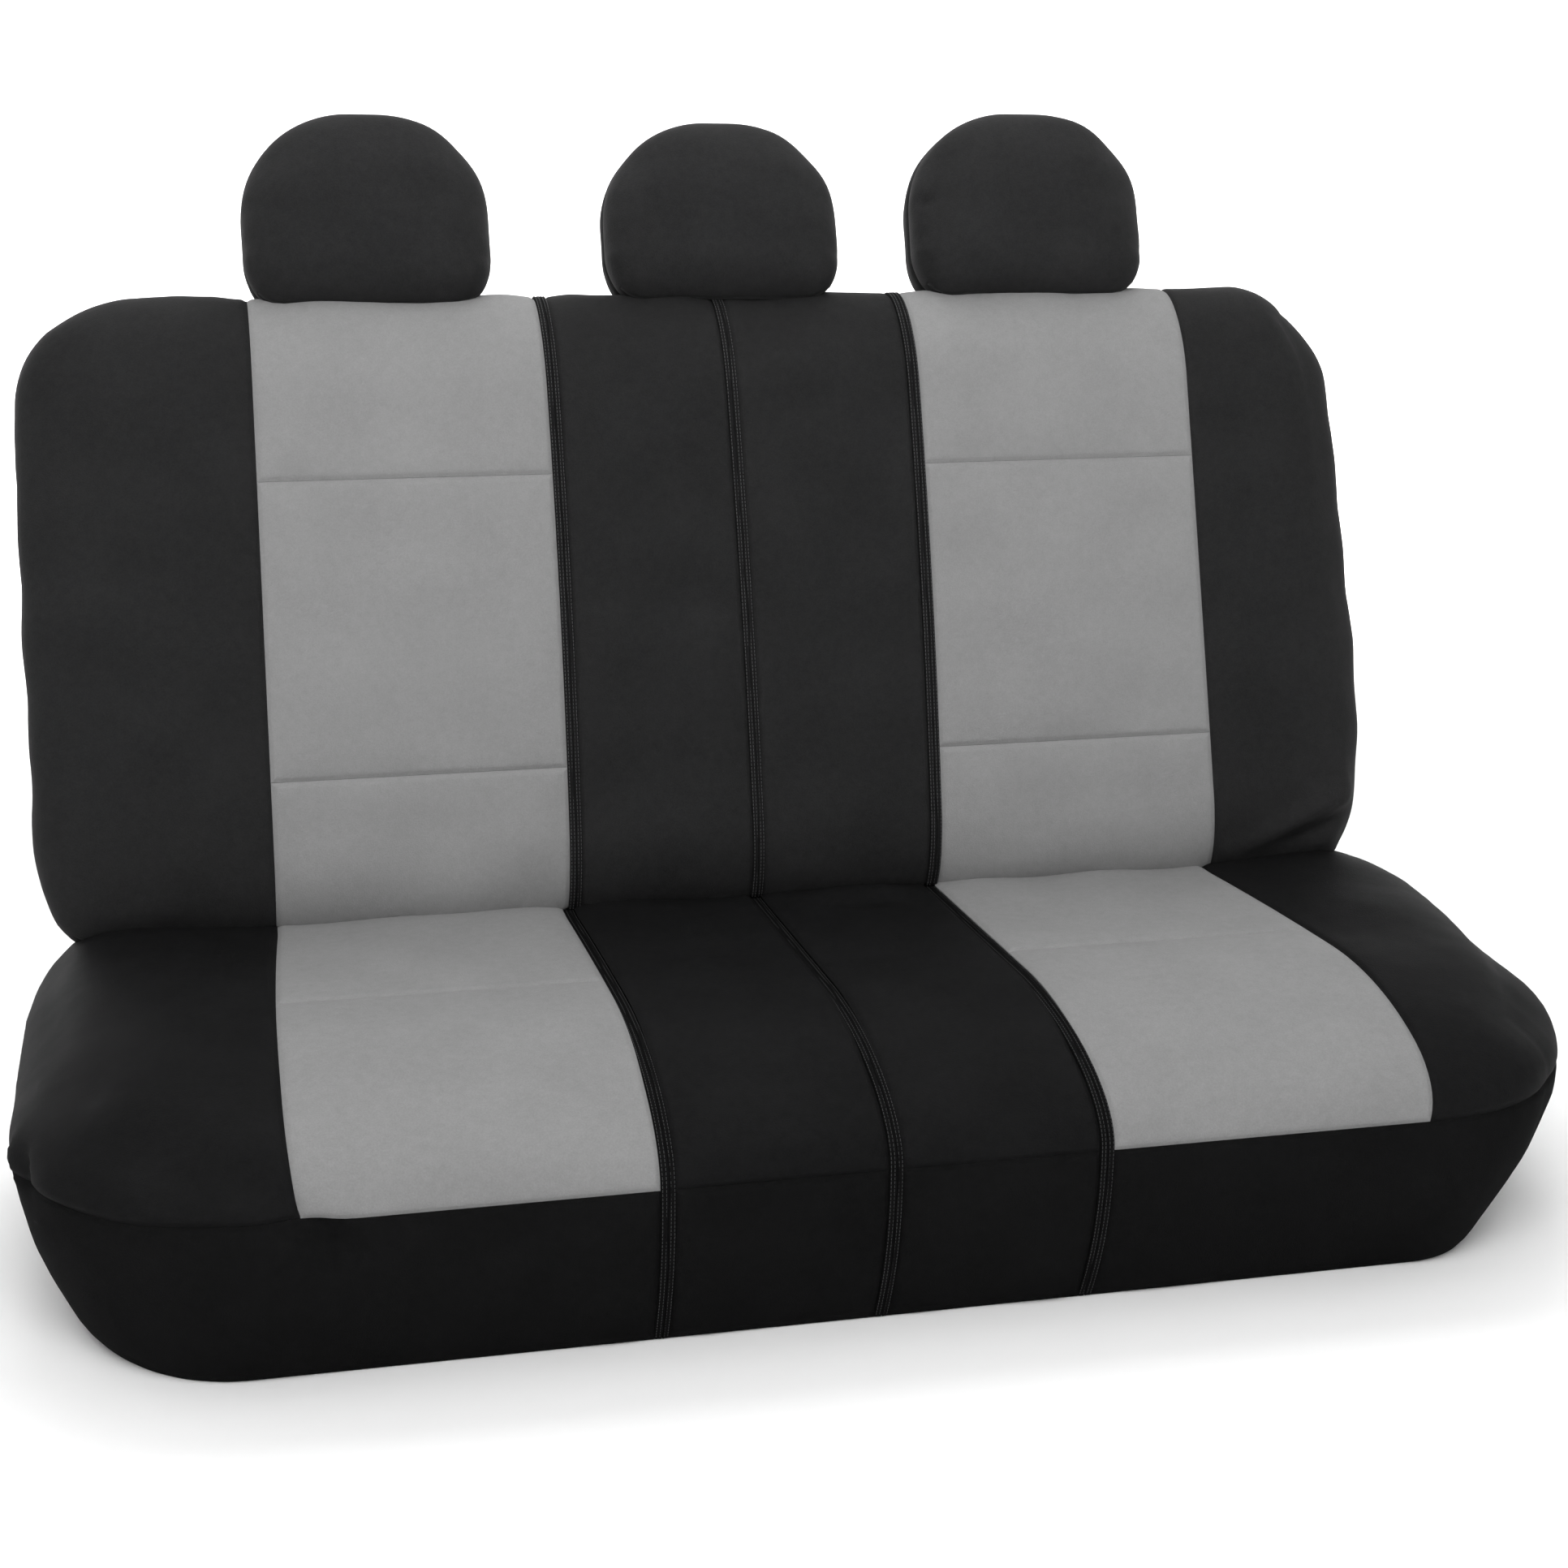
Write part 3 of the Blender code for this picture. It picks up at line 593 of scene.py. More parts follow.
# Folds seen in the photo: start, end, height, width. On the backrest: across, deep, up the slope.
BACK_FOLDS = (
    ((0.440, 0.0, -0.012), (0.690, 0.0, 0.108), 0.0130, 0.0130),
    ((0.440, 0.0, -0.016), (0.690, 0.0, 0.050), 0.0120, 0.0100),
    ((0.450, 0.0, -0.004), (0.680, 0.0, 0.080), -0.0100, 0.0090),
    ((0.020, 0.0, 0.012), (0.180, 0.0, 0.026), -0.0045, 0.0120),
    ((-0.640, 0.0, 0.020), (-0.520, 0.0, 0.034), 0.0030, 0.0140),
    ((0.195, 0.0, 0.010), (0.330, 0.0, 0.034), 0.0018, 0.0120),
    ((-0.430, 0.0, 0.590), (-0.290, 0.0, 0.575), -0.0022, 0.0150),
    ((-0.150, 0.0, 0.575), (-0.060, 0.0, 0.560), -0.0018, 0.0120),
)
# On the cushion, in the seat's own axes. The long soft ones are hollows of the left bolster.
SEAT_FOLDS = (
    ((0.020, 0.092, 0.240), (0.185, 0.096, 0.240), 0.0080, 0.0160),
    ((0.060, 0.055, 0.240), (0.170, 0.080, 0.240), -0.0030, 0.0120),
    ((-0.712, -0.215, 0.235), (-0.690, -0.262, 0.130), -0.0090, 0.0080),
    ((-0.716, -0.190, 0.230), (-0.700, -0.235, 0.125), 0.0070, 0.0080),
    ((-0.660, -0.290, 0.250), (-0.500, -0.385, 0.130), -0.0150, 0.0340),
    ((-0.560, -0.365, 0.230), (-0.440, -0.395, 0.110), -0.0110, 0.0180),
    ((-0.700, -0.260, 0.165), (-0.520, -0.375, 0.138), 0.0090, 0.0120),
    ((-0.600, -0.345, 0.125), (-0.440, -0.390, 0.140), 0.0090, 0.0100),
    ((-0.480, -0.385, 0.150), (-0.420, -0.392, 0.105), -0.0100, 0.0120),
    ((0.560, -0.330, 0.200), (0.700, -0.200, 0.150), -0.0030, 0.0260),
)
# On a headrest, from its own centre.
HEAD_FOLDS = (
    ((-0.122, 0.050, 0.706), (-0.098, 0.010, 0.700), -0.0034, 0.0060),
    ((-0.122, 0.050, 0.664), (-0.100, 0.012, 0.670), -0.0026, 0.0060),
    ((0.120, 0.050, 0.650), (0.094, 0.012, 0.656), -0.0022, 0.0070),
)


def seam_profile(distance):
    """The dip of the fabric into its seam and the slight pillow between seams."""
    dip = -SEAM_DIP * np.exp(-(distance / SEAM_SOFTNESS) ** 2)
    return dip + PILLOW * smooth(distance / PILLOW_REACH)


def back_height(place, point, distance, side):
    lift = seam_profile(distance) + SLACK.at(point) * smooth(distance / SLACK_START)
    lift += RIPPLE.at(point) * smooth(distance / RIPPLE_START)
    return lift + folds(point, BACK_FOLDS) * smooth(distance / FOLD_START)


def seat_crown(place):
    """The crown of the cushion's top and the ridge along each bolster."""
    ahead = place[:, Y] - SEAT_FRONT
    behind = SEAT_REAR - place[:, Y]
    inward = SEAT_HALF - np.abs(place[:, X])
    crown = smooth(ahead / CROWN_FRONT) * smooth(behind / CROWN_REAR) * smooth(inward / CROWN_SIDE)
    ridge = np.exp(-((np.abs(place[:, X]) - BOLSTER_RIDGE) / BOLSTER_SPREAD) ** 2)
    ridge = ridge * smooth(inward / BOLSTER_SIDE) * smooth(behind / BOLSTER_REAR)
    ridge = ridge * smooth((ahead - BOLSTER_START) / BOLSTER_FRONT)
    return CROWN * crown + BOLSTER_CROWN * ridge


def seat_height(place, point, distance, side):
    lift = seam_profile(distance) + SLACK.at(point) * smooth(distance / SLACK_START)
    lift += RIPPLE.at(point) * smooth(distance / RIPPLE_START)
    if side == (Z, HIGH):
        lift += seat_crown(place)
    lift += folds(point, SEAT_FOLDS)
    return lift * np.clip(place[:, Z] / HEM_START, 0.0, 1.0)


def head_height(place, point, distance, side):
    slack = SLACK.at(point * HEAD_SLACK_SCALE) * smooth(distance / SLACK_START)
    return seam_profile(distance) + HEAD_SLACK * slack + folds(point, HEAD_FOLDS)


# ---------------------------- panels

def spans(outer):
    """The panels across a cover of one half width, between their seam lines."""
    return {
        "left_bolster": (-outer, -BOLSTER_SEAM),
        "left_insert": (-BOLSTER_SEAM, -ZIP_LINE - HALF_ZIP),
        "centre_left": (-ZIP_LINE + HALF_ZIP, -HALF_ZIP),
        "centre_right": (HALF_ZIP, ZIP_LINE - HALF_ZIP),
        "right_insert": (ZIP_LINE + HALF_ZIP, BOLSTER_SEAM),
        "right_bolster": (BOLSTER_SEAM, outer),
    }


def seat_box():
    low = (-SEAT_HALF, SEAT_FRONT, 0.0)
    high = (SEAT_HALF, SEAT_REAR, SEAT_TOP)
    corner_x, corner_y = SEAT_CORNER
    low_radii = (corner_x, corner_y, 0.0)
    return SeatBox(low, high, low_radii, (SEAT_RIGHT_CORNER, SEAT_REAR_ROLL, SEAT_TOP_ROLL))


def seat_cover():
    box = seat_box()
    span = spans(SEAT_HALF)
    whole = (SEAT_FRONT, SEAT_REAR)
    wall = (SKIRT_TOP, SEAT_TOP)
    drop = (-HEM, SKIRT_TOP)
    looks = (seat_height, SEAT_FRAME)
    for side, end in (("left", LOW), ("right", HIGH)):
        bolster, insert, centre = (span[side + "_bolster"], span[side + "_insert"], span["centre_" + side])
        outer = (min(bolster[0], insert[0]), max(bolster[1], insert[1]))
        jobs = [
            (side + "_cushion_bolster", SEAT_BLACK_PAINTED_SHADE, "black_fabric", (0.32, 0.80), [
                (Z, HIGH, bolster, whole), (Y, LOW, bolster, wall),
                (Y, HIGH, bolster, wall), (X, end, whole, wall)]),
            (side + "_cushion_insert_front", SEAT_GREY_PAINTED_SHADE, "grey_fabric", (0.30, 0.34), [
                (Z, HIGH, insert, (SEAT_FRONT, SEAT_CROSS_SEAM)), (Y, LOW, insert, wall)]),
            (side + "_cushion_insert_rear", SEAT_GREY_PAINTED_SHADE, "grey_fabric", (0.30, 0.40), [
                (Z, HIGH, insert, (SEAT_CROSS_SEAM, SEAT_REAR)), (Y, HIGH, insert, wall)]),
            ("cushion_centre_" + side, SEAT_BLACK_PAINTED_SHADE, "black_fabric", (0.20, 0.75), [
                (Z, HIGH, centre, whole), (Y, LOW, centre, wall), (Y, HIGH, centre, wall)]),
            (side + "_skirt", SKIRT_BLACK_PAINTED_SHADE, "black_fabric", (0.18, 1.45), [
                (Y, LOW, outer, drop), (X, end, whole, drop), (Y, HIGH, bolster, drop)]),
            (side + "_rear_skirt", SKIRT_BLACK_PAINTED_SHADE, "black_fabric", (0.18, 0.30), [(Y, HIGH, insert, drop)]),
            ("centre_skirt_" + side, SKIRT_BLACK_PAINTED_SHADE, "black_fabric", (0.20, 0.20), [(Y, LOW, centre, drop)]),
            ("centre_rear_skirt_" + side, SKIRT_BLACK_PAINTED_SHADE, "black_fabric", (0.20, 0.20), [
                (Y, HIGH, centre, drop)]),
        ]
        for name, material, slot, flat, patches in jobs:
            cloth_panel(name + "_cloth", box, patches, *looks, material, slot, ROOT, flat)
    return box


def underside(box, x_span):
    """The front and rear strips under a box, as far as its hem turns in."""
    front = box.low[Y] + box.low_radii[Y] * (1.0 - TURN)
    rear = box.high[Y] - box.high_radii[Y] * (1.0 - TURN)
    return [(Z, LOW, x_span, (box.low[Y], front)), (Z, LOW, x_span, (rear, box.high[Y]))]


def underside_end(box, end, depth):
    reach = box.lower_side_radius * (1.0 - TURN)
    front = max(depth[0], box.low[Y] + box.low_radii[Y] * (1.0 - TURN))
    rear = min(depth[1], box.high[Y] - box.high_radii[Y] * (1.0 - TURN))
    x_span = (box.low[X], box.low[X] + reach) if end == LOW else (box.high[X] - reach, box.high[X])
    return (Z, LOW, x_span, (front, rear))


def back_cover():
    low = (-BACK_HALF, 0.0, BACK_BOTTOM)
    high = (BACK_HALF, BACK_THICK, BACK_TOP)
    low_radii = (BACK_CORNER, BACK_FRONT_ROLL, BACK_LOWER_ROLL)
    high_radii = (BACK_RIGHT_CORNER, BACK_REAR_ROLL, BACK_CORNER)
    box = BackBox(low, high, low_radii, high_radii, BACK_LOWER_CORNER)
    span = spans(BACK_HALF)
    depth = (0.0, BACK_THICK)
    height = (BACK_BOTTOM, BACK_TOP)
    looks = (back_height, BACK_FRAME)
    for side, end in (("left", LOW), ("right", HIGH)):
        body = side + "_section"
        bolster, insert, centre = (span[side + "_bolster"], span[side + "_insert"], span["centre_" + side])
        front_hem, rear_hem = underside(box, insert)
        jobs = [
            (side + "_back_bolster", BACK_BLACK, "black_fabric", (0.52, 0.90), body, [
                (Y, LOW, bolster, height), (Y, HIGH, bolster, height), (Z, HIGH, bolster, depth),
                (X, end, depth, height), *underside(box, bolster), underside_end(box, end, depth)]),
            (side + "_back_insert_lower", GREY, "grey_fabric", (0.18, 0.28), body, [
                (Y, LOW, insert, (BACK_BOTTOM, LOWER_CROSS_SEAM)), front_hem]),
            (side + "_back_insert_middle", GREY, "grey_fabric", (0.285, 0.28), body, [
                (Y, LOW, insert, (LOWER_CROSS_SEAM, UPPER_CROSS_SEAM))]),
            (side + "_back_insert_upper", GREY, "grey_fabric", (0.28, 0.45), body, [
                (Y, LOW, insert, (UPPER_CROSS_SEAM, BACK_TOP)), (Z, HIGH, insert, depth),
                (Y, HIGH, insert, (REAR_YOKE_SEAM, BACK_TOP))]),
            (side + "_back_rear_panel", BACK_BLACK, "black_fabric", (0.28, 0.52), body, [
                (Y, HIGH, insert, (BACK_BOTTOM, REAR_YOKE_SEAM)), rear_hem]),
            ("back_centre_" + side, BACK_BLACK, "black_fabric", (0.18, 1.40), "centre_section", [
                (Y, LOW, centre, height), (Z, HIGH, centre, depth), (Y, HIGH, centre, height),
                *underside(box, centre)]),
        ]
        for name, material, slot, flat, rides, patches in jobs:
            cloth_panel(name + "_cloth", box, patches, *looks, material, slot, rides, flat)
    return box


def headrest_covers():
    """Three covers: centre, half width and top of each, up the slope from the crease."""
    for name, (x, half, top) in HEADRESTS.items():
        low = (-half, HEAD_FRONT, HEAD_BOTTOM)
        high = (half, HEAD_FRONT + HEAD_THICK, top)
        low_radii = (HEAD_DOME, HEAD_EDGE_ROLL, HEAD_LOWER_ROLL)
        high_radii = (HEAD_DOME, HEAD_EDGE_ROLL, HEAD_DOME)
        box = RoundedBox(low, high, low_radii, high_radii, HEAD_LOWER_CORNER)
        width = (low[X], high[X])
        height = (low[Z], high[Z])
        matrix = BACK_FRAME @ Matrix.Translation((x, 0.0, 0.0))
        halves = (("front", LOW, (low[Y], HEAD_MIDDLE)), ("rear", HIGH, (HEAD_MIDDLE, high[Y])))
        for index, (half_name, end, depth) in enumerate(halves):
            patches = [
                (Y, end, width, height), (Z, HIGH, width, depth), (X, LOW, depth, height),
                (X, HIGH, depth, height), underside_end(box, LOW, depth), underside_end(box, HIGH, depth),
                underside(box, width)[index]]
            cloth_panel(f"{name}_headrest_{half_name}_cloth", box, patches, head_height, matrix, HEAD_BLACK_PAINTED_LIGHT,
                        "black_fabric", name + "_headrest_cover", (0.37, 0.30))


# ---------------------------- zips

# Each zip is covered by two folded facings that meet over the chain. Across it: offset, height.
FACING = ((0.0061, -0.0022), (0.0058, -0.0006), (0.0052, 0.0001), (0.0042, 0.0003), (0.0030, 0.0002),
          (0.0019, 0.0004), (0.0011, 0.0007), (0.0005, 0.0003), (0.0001, -0.0011))
FACING_HALF = FACING[0][0]
ACROSS = [-offset for offset, _ in FACING] + [offset for offset, _ in reversed(FACING)]
LIFT_ACROSS = [lift for _, lift in FACING] + [lift for _, lift in reversed(FACING)]
MEETING = Waves(seed=29, height=0.00045, shortest=0.05, longest=0.20)
FACING_FABRIC = 0.0014
HEM_PRESS = 0.3
COLUMNS = {"left": -ZIP_LINE, "centre": 0.0, "right": ZIP_LINE}


def facing_height(x):
    """The raised profile of the facings, pressed flatter where the hem turns in."""
    def height(place, point, distance, side):
        lift = np.interp(place[:, X] - x, ACROSS, LIFT_ACROSS)
        return np.where(place[:, Z] < 0.0, lift * HEM_PRESS, lift)
    return height


def facing_sway(x):
    """The line where the facings meet wanders a little."""
    def sway(place, point):
        centred = 1.0 - np.abs(place[:, X] - x) / FACING_HALF
        return MEETING.at(point) * centred
    return sway


def zip_facing(name, box, patches, x, matrix, material, body):
    cloth = Cloth(box, facing_height(x), facing_sway(x))
    lines = [x + offset for offset in ACROSS]
    for axis, end, _, along in patches:
        cloth.add(axis, end, (lines[0], lines[-1]), along, fine_u=lines)
    piece = link(name + "_facing", cloth.mesh(name + "_facing", matrix), material, "zip_tape", body, name)
    add_thickness(piece, FACING_FABRIC)


# ---------------------------- stitches

STITCH_PITCH = 0.0036
STITCH_LENGTH = 0.0027
THREAD_RADIUS = 0.00028
THREAD_SIDES = 5
THREAD_SHOULDER = 0.75
ROW_STEP = 0.001
ZIP_ROWS = (-0.0048, -0.0018, 0.0018, 0.0048)
ZIP_ROW_LIFT = 0.0003
ZIP_ROW_START = 0.002
INSERT_ROWS = (-0.0022, 0.0022)
INSERT_ROW_LIFT = -0.0012
INSERT_ROW_START = 0.002
INSERT_ROW_POINTS = 300


class Stitching:
    """Rows of short capsules of thread that lie half sunk in the fabric, gathered in one mesh."""

    def __init__(self):
        self.centres = []
        self.tangents = []
        self.normals = []

    def row(self, box, place, lift, matrix):
        """A row of stitches over the box surface along the given places."""
        point, normal = box.shape(place)
        point = point + normal * lift
        step = np.linalg.norm(np.diff(point, axis=0), axis=1)
        run = np.concatenate([[0.0], np.cumsum(step)])
        stops = np.arange(STITCH_PITCH / 2.0, run[-1], STITCH_PITCH)
        if len(stops) == 0:
            return
        turn = np.array(matrix.to_3x3())
        shift = np.array(matrix.translation)
        tangent = np.gradient(point, axis=0)
        for values, store, move in ((point, self.centres, shift), (tangent, self.tangents, 0.0),
                                    (normal, self.normals, 0.0)):
            at_stops = np.stack([np.interp(stops, run, values[:, axis]) for axis in range(3)], axis=1)
            store.append(at_stops @ turn.T + move)

    def column(self, box, patches, x, lift, matrix):
        """A row along each of the patches of a strip, at one distance across it."""
        for axis, end, _, along in patches:
            count = int((along[1] - along[0]) / ROW_STEP) + 2
            place = np.zeros((count, 3))
            place[:, axis] = box.high[axis] if end == HIGH else box.low[axis]
            place[:, X] = x
            place[:, Z if axis == Y else Y] = np.linspace(*along, count)
            self.row(box, place, lift, matrix)

    def piece(self, name, material, slot, body):
        """One mesh of every stitch: two tips, and a ring of thread near each."""
        centre = np.concatenate(self.centres)
        tangent = np.concatenate(self.tangents)
        tangent /= np.linalg.norm(tangent, axis=1)[:, None]
        normal = np.concatenate(self.normals)
        side = np.cross(tangent, normal)
        side /= np.linalg.norm(side, axis=1)[:, None]
        half = STITCH_LENGTH / 2.0
        points = [centre - tangent * half]
        for end in (-1.0, 1.0):
            for step in range(THREAD_SIDES):
                turn = 2.0 * np.pi * step / THREAD_SIDES
                around = side * np.cos(turn) + normal * np.sin(turn)
                points.append(centre + tangent * half * end * THREAD_SHOULDER + around * THREAD_RADIUS)
        points.append(centre + tangent * half)
        per_stitch = len(points)
        points = np.stack(points, axis=1).reshape(-1, 3)
        second = 1 + THREAD_SIDES
        faces = []
        for step in range(THREAD_SIDES):
            after = (step + 1) % THREAD_SIDES
            faces.append((0, 1 + after, 1 + step))
            faces.append((1 + step, 1 + after, second + after, second + step))
            faces.append((second + step, second + after, per_stitch - 1))
        every = []
        for index in range(len(centre)):
            start = index * per_stitch
            every.extend([tuple(corner + start for corner in face) for face in faces])
        data = bpy.data.meshes.new(name)
        data.from_pydata(points.tolist(), [], every)
        data.shade_smooth()
        return link(name, data, material, slot, body)


def zips(seat, back):
    """The three facings of each cover, with four rows of stitches on each."""
    seat_wall = (-HEM, SEAT_TOP)
    seat_loop = [(Y, LOW, None, seat_wall), (Z, HIGH, None, (SEAT_FRONT, SEAT_REAR)),
                 (Y, HIGH, None, seat_wall)]
    back_wall = (BACK_BOTTOM, BACK_TOP)
    back_loop = [(Y, LOW, None, back_wall), (Z, HIGH, None, (0.0, BACK_THICK)), (Y, HIGH, None, back_wall),
                 *underside(back, None)]
    jobs = (
        ("cushion", seat, seat_loop, SEAT_FRAME, SEAT_FACING_PAINTED_SHADE, SEAT_THREAD_PAINTED_SHADE, ROOT, 1.12),
        ("back", back, back_loop, BACK_FRAME, BACK_FACING, BACK_THREAD, "centre_section", 1.40),
    )
    for cover, box, loop, matrix, facing, thread, body, length in jobs:
        stitching = Stitching()
        sewn = []
        for axis, end, span, (start, stop) in loop:
            start = max(start, ZIP_ROW_START) if axis == Y else start
            sewn.append((axis, end, span, (start, stop)))
        for column, x in COLUMNS.items():
            zip_facing(f"{column}_{cover}_zip", box, loop, x, matrix, facing, body)
            for offset in ZIP_ROWS:
                stitching.column(box, sewn, x + offset, ZIP_ROW_LIFT, matrix)
        stitching.piece(cover + "_zip_stitches", thread, "zip_tape", body)


def cross_seam_stitches(seat):
    """Topstitching beside the cross seam of each cushion insert."""
    stitching = Stitching()
    for start, end in ((-BOLSTER_SEAM, -ZIP_LINE - HALF_ZIP), (ZIP_LINE + HALF_ZIP, BOLSTER_SEAM)):
        for offset in INSERT_ROWS:
            place = np.zeros((INSERT_ROW_POINTS, 3))
            place[:, X] = np.linspace(start + INSERT_ROW_START, end - INSERT_ROW_START, INSERT_ROW_POINTS)
            place[:, Y] = SEAT_CROSS_SEAM + offset
            place[:, Z] = SEAT_TOP
            stitching.row(seat, place, INSERT_ROW_LIFT, SEAT_FRAME)
    stitching.piece("insert_stitches", GREY_THREAD, "grey_fabric", ROOT)


# ---------------------------- sliders, pulls, closures and straps

# A slider's plates, from the zip outwards, and the arch of its bridge over them.
SLIDER_HALF_WIDTH = 0.0045
SLIDER_HALF_LENGTH = 0.0070
LOWER_PLATE = (0.0004, 0.0014)
UPPER_PLATE = (0.0028, 0.0040)
RIM_TOP = 0.0044
BRIDGE_HALF_WIDTH = 0.0010
BRIDGE_HALF_LENGTH = 0.0050
BRIDGE_BASE = 0.0034
BRIDGE_RISE = 0.0051
BRIDGE_INSIDE = 0.72
BRIDGE_STEPS = 12

# A pull hangs from the bridge. Its slot is at the top and its grip ribs are below.
PULL_HALF_WIDTH = 0.0034
PULL_HALF_DEPTH = 0.0007
PULL_LENGTH = 0.0340
PULL_SLOT = (0.0016, -0.0090, -0.0007)
PULL_RIB_TOP = -0.0170
PULL_RIB_PITCH = 0.0024
PULL_RIB_DEPTH = (0.0006, 0.0011)
PULL_PIVOT = Vector((0.0, 0.0055, -0.0020))
EDGE_BEVEL = 0.00022

# Elastic bands and hook patches: ribs across, and thin worn edges.
BAND_FABRIC = 0.0013
BAND_RISE = 0.0006
BAND_EDGE = 0.0012
BAND_RIB_HEIGHT = 0.00018
STRAP_RIB = 0.0026
STRAP_CELL = 0.0040
CLOSURE_SIZE = (0.040, 0.050)
CLOSURE_RIB = 0.0020
CLOSURE_CELL = 0.0005
CLOSURE_LIFT = 0.0055


def outline(half_width, low, high, corner, count=40):
    """A closed outline with rounded ends, in the (x, z) plane."""
    middle, half = (low + high) / 2.0, (high - low) / 2.0
    points = []
    for step in range(count):
        turn = 2.0 * np.pi * step / count
        across, up = np.cos(turn), np.sin(turn)
        points.append((half_width * np.sign(across) * abs(across) ** corner,
                       middle + half * np.sign(up) * abs(up) ** corner))
    return points


def plate(outer, inner, front, back):
    """A plate between two depths, with an optional slot through it."""
    form = bmesh.new()
    ring = [form.verts.new((x, front, z)) for x, z in outer]
    if inner is None:
        form.faces.new(ring)
    else:
        hole = [form.verts.new((x, front, z)) for x, z in inner]
        for index in range(len(ring)):
            after = (index + 1) % len(ring)
            form.faces.new((ring[index], ring[after], hole[after], hole[index]))
    extruded = bmesh.ops.extrude_face_region(form, geom=form.faces[:], use_keep_orig=True)
    moved = [item for item in extruded["geom"] if isinstance(item, bmesh.types.BMVert)]
    bmesh.ops.translate(form, verts=moved, vec=(0.0, back - front, 0.0))
    bmesh.ops.recalc_face_normals(form, faces=form.faces[:])
    return form


def join_forms(name, forms):
    data = bpy.data.meshes.new(name)
    whole = bmesh.new()
    for form in forms:
        form.to_mesh(data)
        whole.from_mesh(data)
        form.free()
    whole.to_mesh(data)
    whole.free()
    return data


def bridge_form():
    """The arched bridge of a slider that holds the pull."""
    arch = bmesh.new()
    rings = []
    for step in range(BRIDGE_STEPS + 1):
        turn = np.pi * step / BRIDGE_STEPS
        out, up = np.sin(turn), np.cos(turn)
        ring = []
        for x, share in ((-1.0, 1.0), (1.0, 1.0), (1.0, BRIDGE_INSIDE), (-1.0, BRIDGE_INSIDE)):
            depth = BRIDGE_BASE + BRIDGE_RISE * share * out ** 0.6
            ring.append(arch.verts.new((x * BRIDGE_HALF_WIDTH, depth, BRIDGE_HALF_LENGTH * share * up)))
        rings.append(ring)
    for first, second in zip(rings, rings[1:]):
        for index in range(4):
            after = (index + 1) % 4
            arch.faces.new((first[index], first[after], second[after], second[index]))
    arch.faces.new(rings[0])
    arch.faces.new(list(reversed(rings[-1])))
    bmesh.ops.recalc_face_normals(arch, faces=arch.faces[:])
    return arch


def slider_data(name):
    """A slider: a lower and an upper plate on a neck, a raised rim and the bridge."""
    body = outline(SLIDER_HALF_WIDTH, -SLIDER_HALF_LENGTH, SLIDER_HALF_LENGTH, 0.62)
    neck = outline(0.0016, 0.0005, 0.0062, 0.8)
    rim = outline(0.0030, -0.0052, 0.0052, 0.7)
    rim_inside = outline(0.0022, -0.0042, 0.0042, 0.7)
    forms = [
        plate(body, None, *UPPER_PLATE),
        plate(body, None, *LOWER_PLATE),
        plate(neck, None, LOWER_PLATE[1], UPPER_PLATE[0]),
        plate(rim, rim_inside, UPPER_PLATE[1], RIM_TOP),
        bridge_form(),
    ]
    return join_forms(name, forms)


def pull_data(name):
    """A pull: a flat bar slotted at the top for the bridge, with grip ribs lower down."""
    bar = outline(PULL_HALF_WIDTH, -PULL_LENGTH, PULL_HALF_DEPTH, 0.45)
    forms = [plate(bar, outline(*PULL_SLOT, 0.6), -PULL_HALF_DEPTH, PULL_HALF_DEPTH)]
    for step in range(5):
        height = PULL_RIB_TOP - PULL_RIB_PITCH * step
        rib = outline(0.0024, height - 0.0005, height + 0.0005, 0.6, 16)
        forms.append(plate(rib, None, *PULL_RIB_DEPTH))
    return join_forms(name, forms)


def hardware(name, data, matrix, body):
    data.transform(matrix)
    data.shade_smooth()
    piece = link(name + "_metal", data, LACQUER, "zip_metal", body, name)
    edge = piece.modifiers.new("edge", "BEVEL")
    edge.width = EDGE_BEVEL
    edge.segments = 2
    edge.limit_method = "ANGLE"
    edge.harden_normals = True


def sliders():
    """Each slider sits at its zip's place on the rear, and its pull hangs straight down."""
    for column in COLUMNS:
        for cover in ("back", "cushion"):
            name = f"{column}_{cover}"
            hinge = Vector(joint(name + "_pull_swing")["pos_m"])
            lean = Matrix.Rotation(-RECLINE if cover == "back" else 0.0, 4, "X")
            foot = hinge - lean.to_3x3() @ PULL_PIVOT
            data = slider_data(name + "_zip_slider_metal")
            hardware(name + "_zip_slider", data, Matrix.Translation(foot) @ lean, name + "_slider")
            data = pull_data(name + "_zip_pull_metal")
            hardware(name + "_zip_pull", data, Matrix.Translation(hinge), name + "_pull")


def band(name, node, width, length, matrix, rib, cell, body):
    """A ribbed elastic band or hook patch with worn edges, lying flat about the origin of its frame."""
    across = np.linspace(-0.5, 0.5, int(width / (rib / 4.0)))
    along = np.linspace(-0.5, 0.5, int(length / cell))
    u, v = np.meshgrid(across * width, along * length)
    edge = np.minimum(width / 2.0 - np.abs(u), length / 2.0 - np.abs(v))
    thick = BAND_RISE * np.sqrt(np.clip(edge / BAND_EDGE, 0.0, 1.0))
    ribs = BAND_RIB_HEIGHT * np.cos(2.0 * np.pi * u / rib)
    if cell < rib:
        ribs = ribs * np.cos(2.0 * np.pi * v / rib)
    points = np.stack([u, v, thick + ribs], axis=-1).reshape(-1, 3)
    data = bpy.data.meshes.new(name)
    data.from_pydata(points.tolist(), [], grid_faces(u.shape).tolist())
    data.transform(matrix)
    data.shade_smooth()
    piece = link(name, data, ELASTIC, "elastic", body, node)
    add_thickness(piece, BAND_FABRIC)


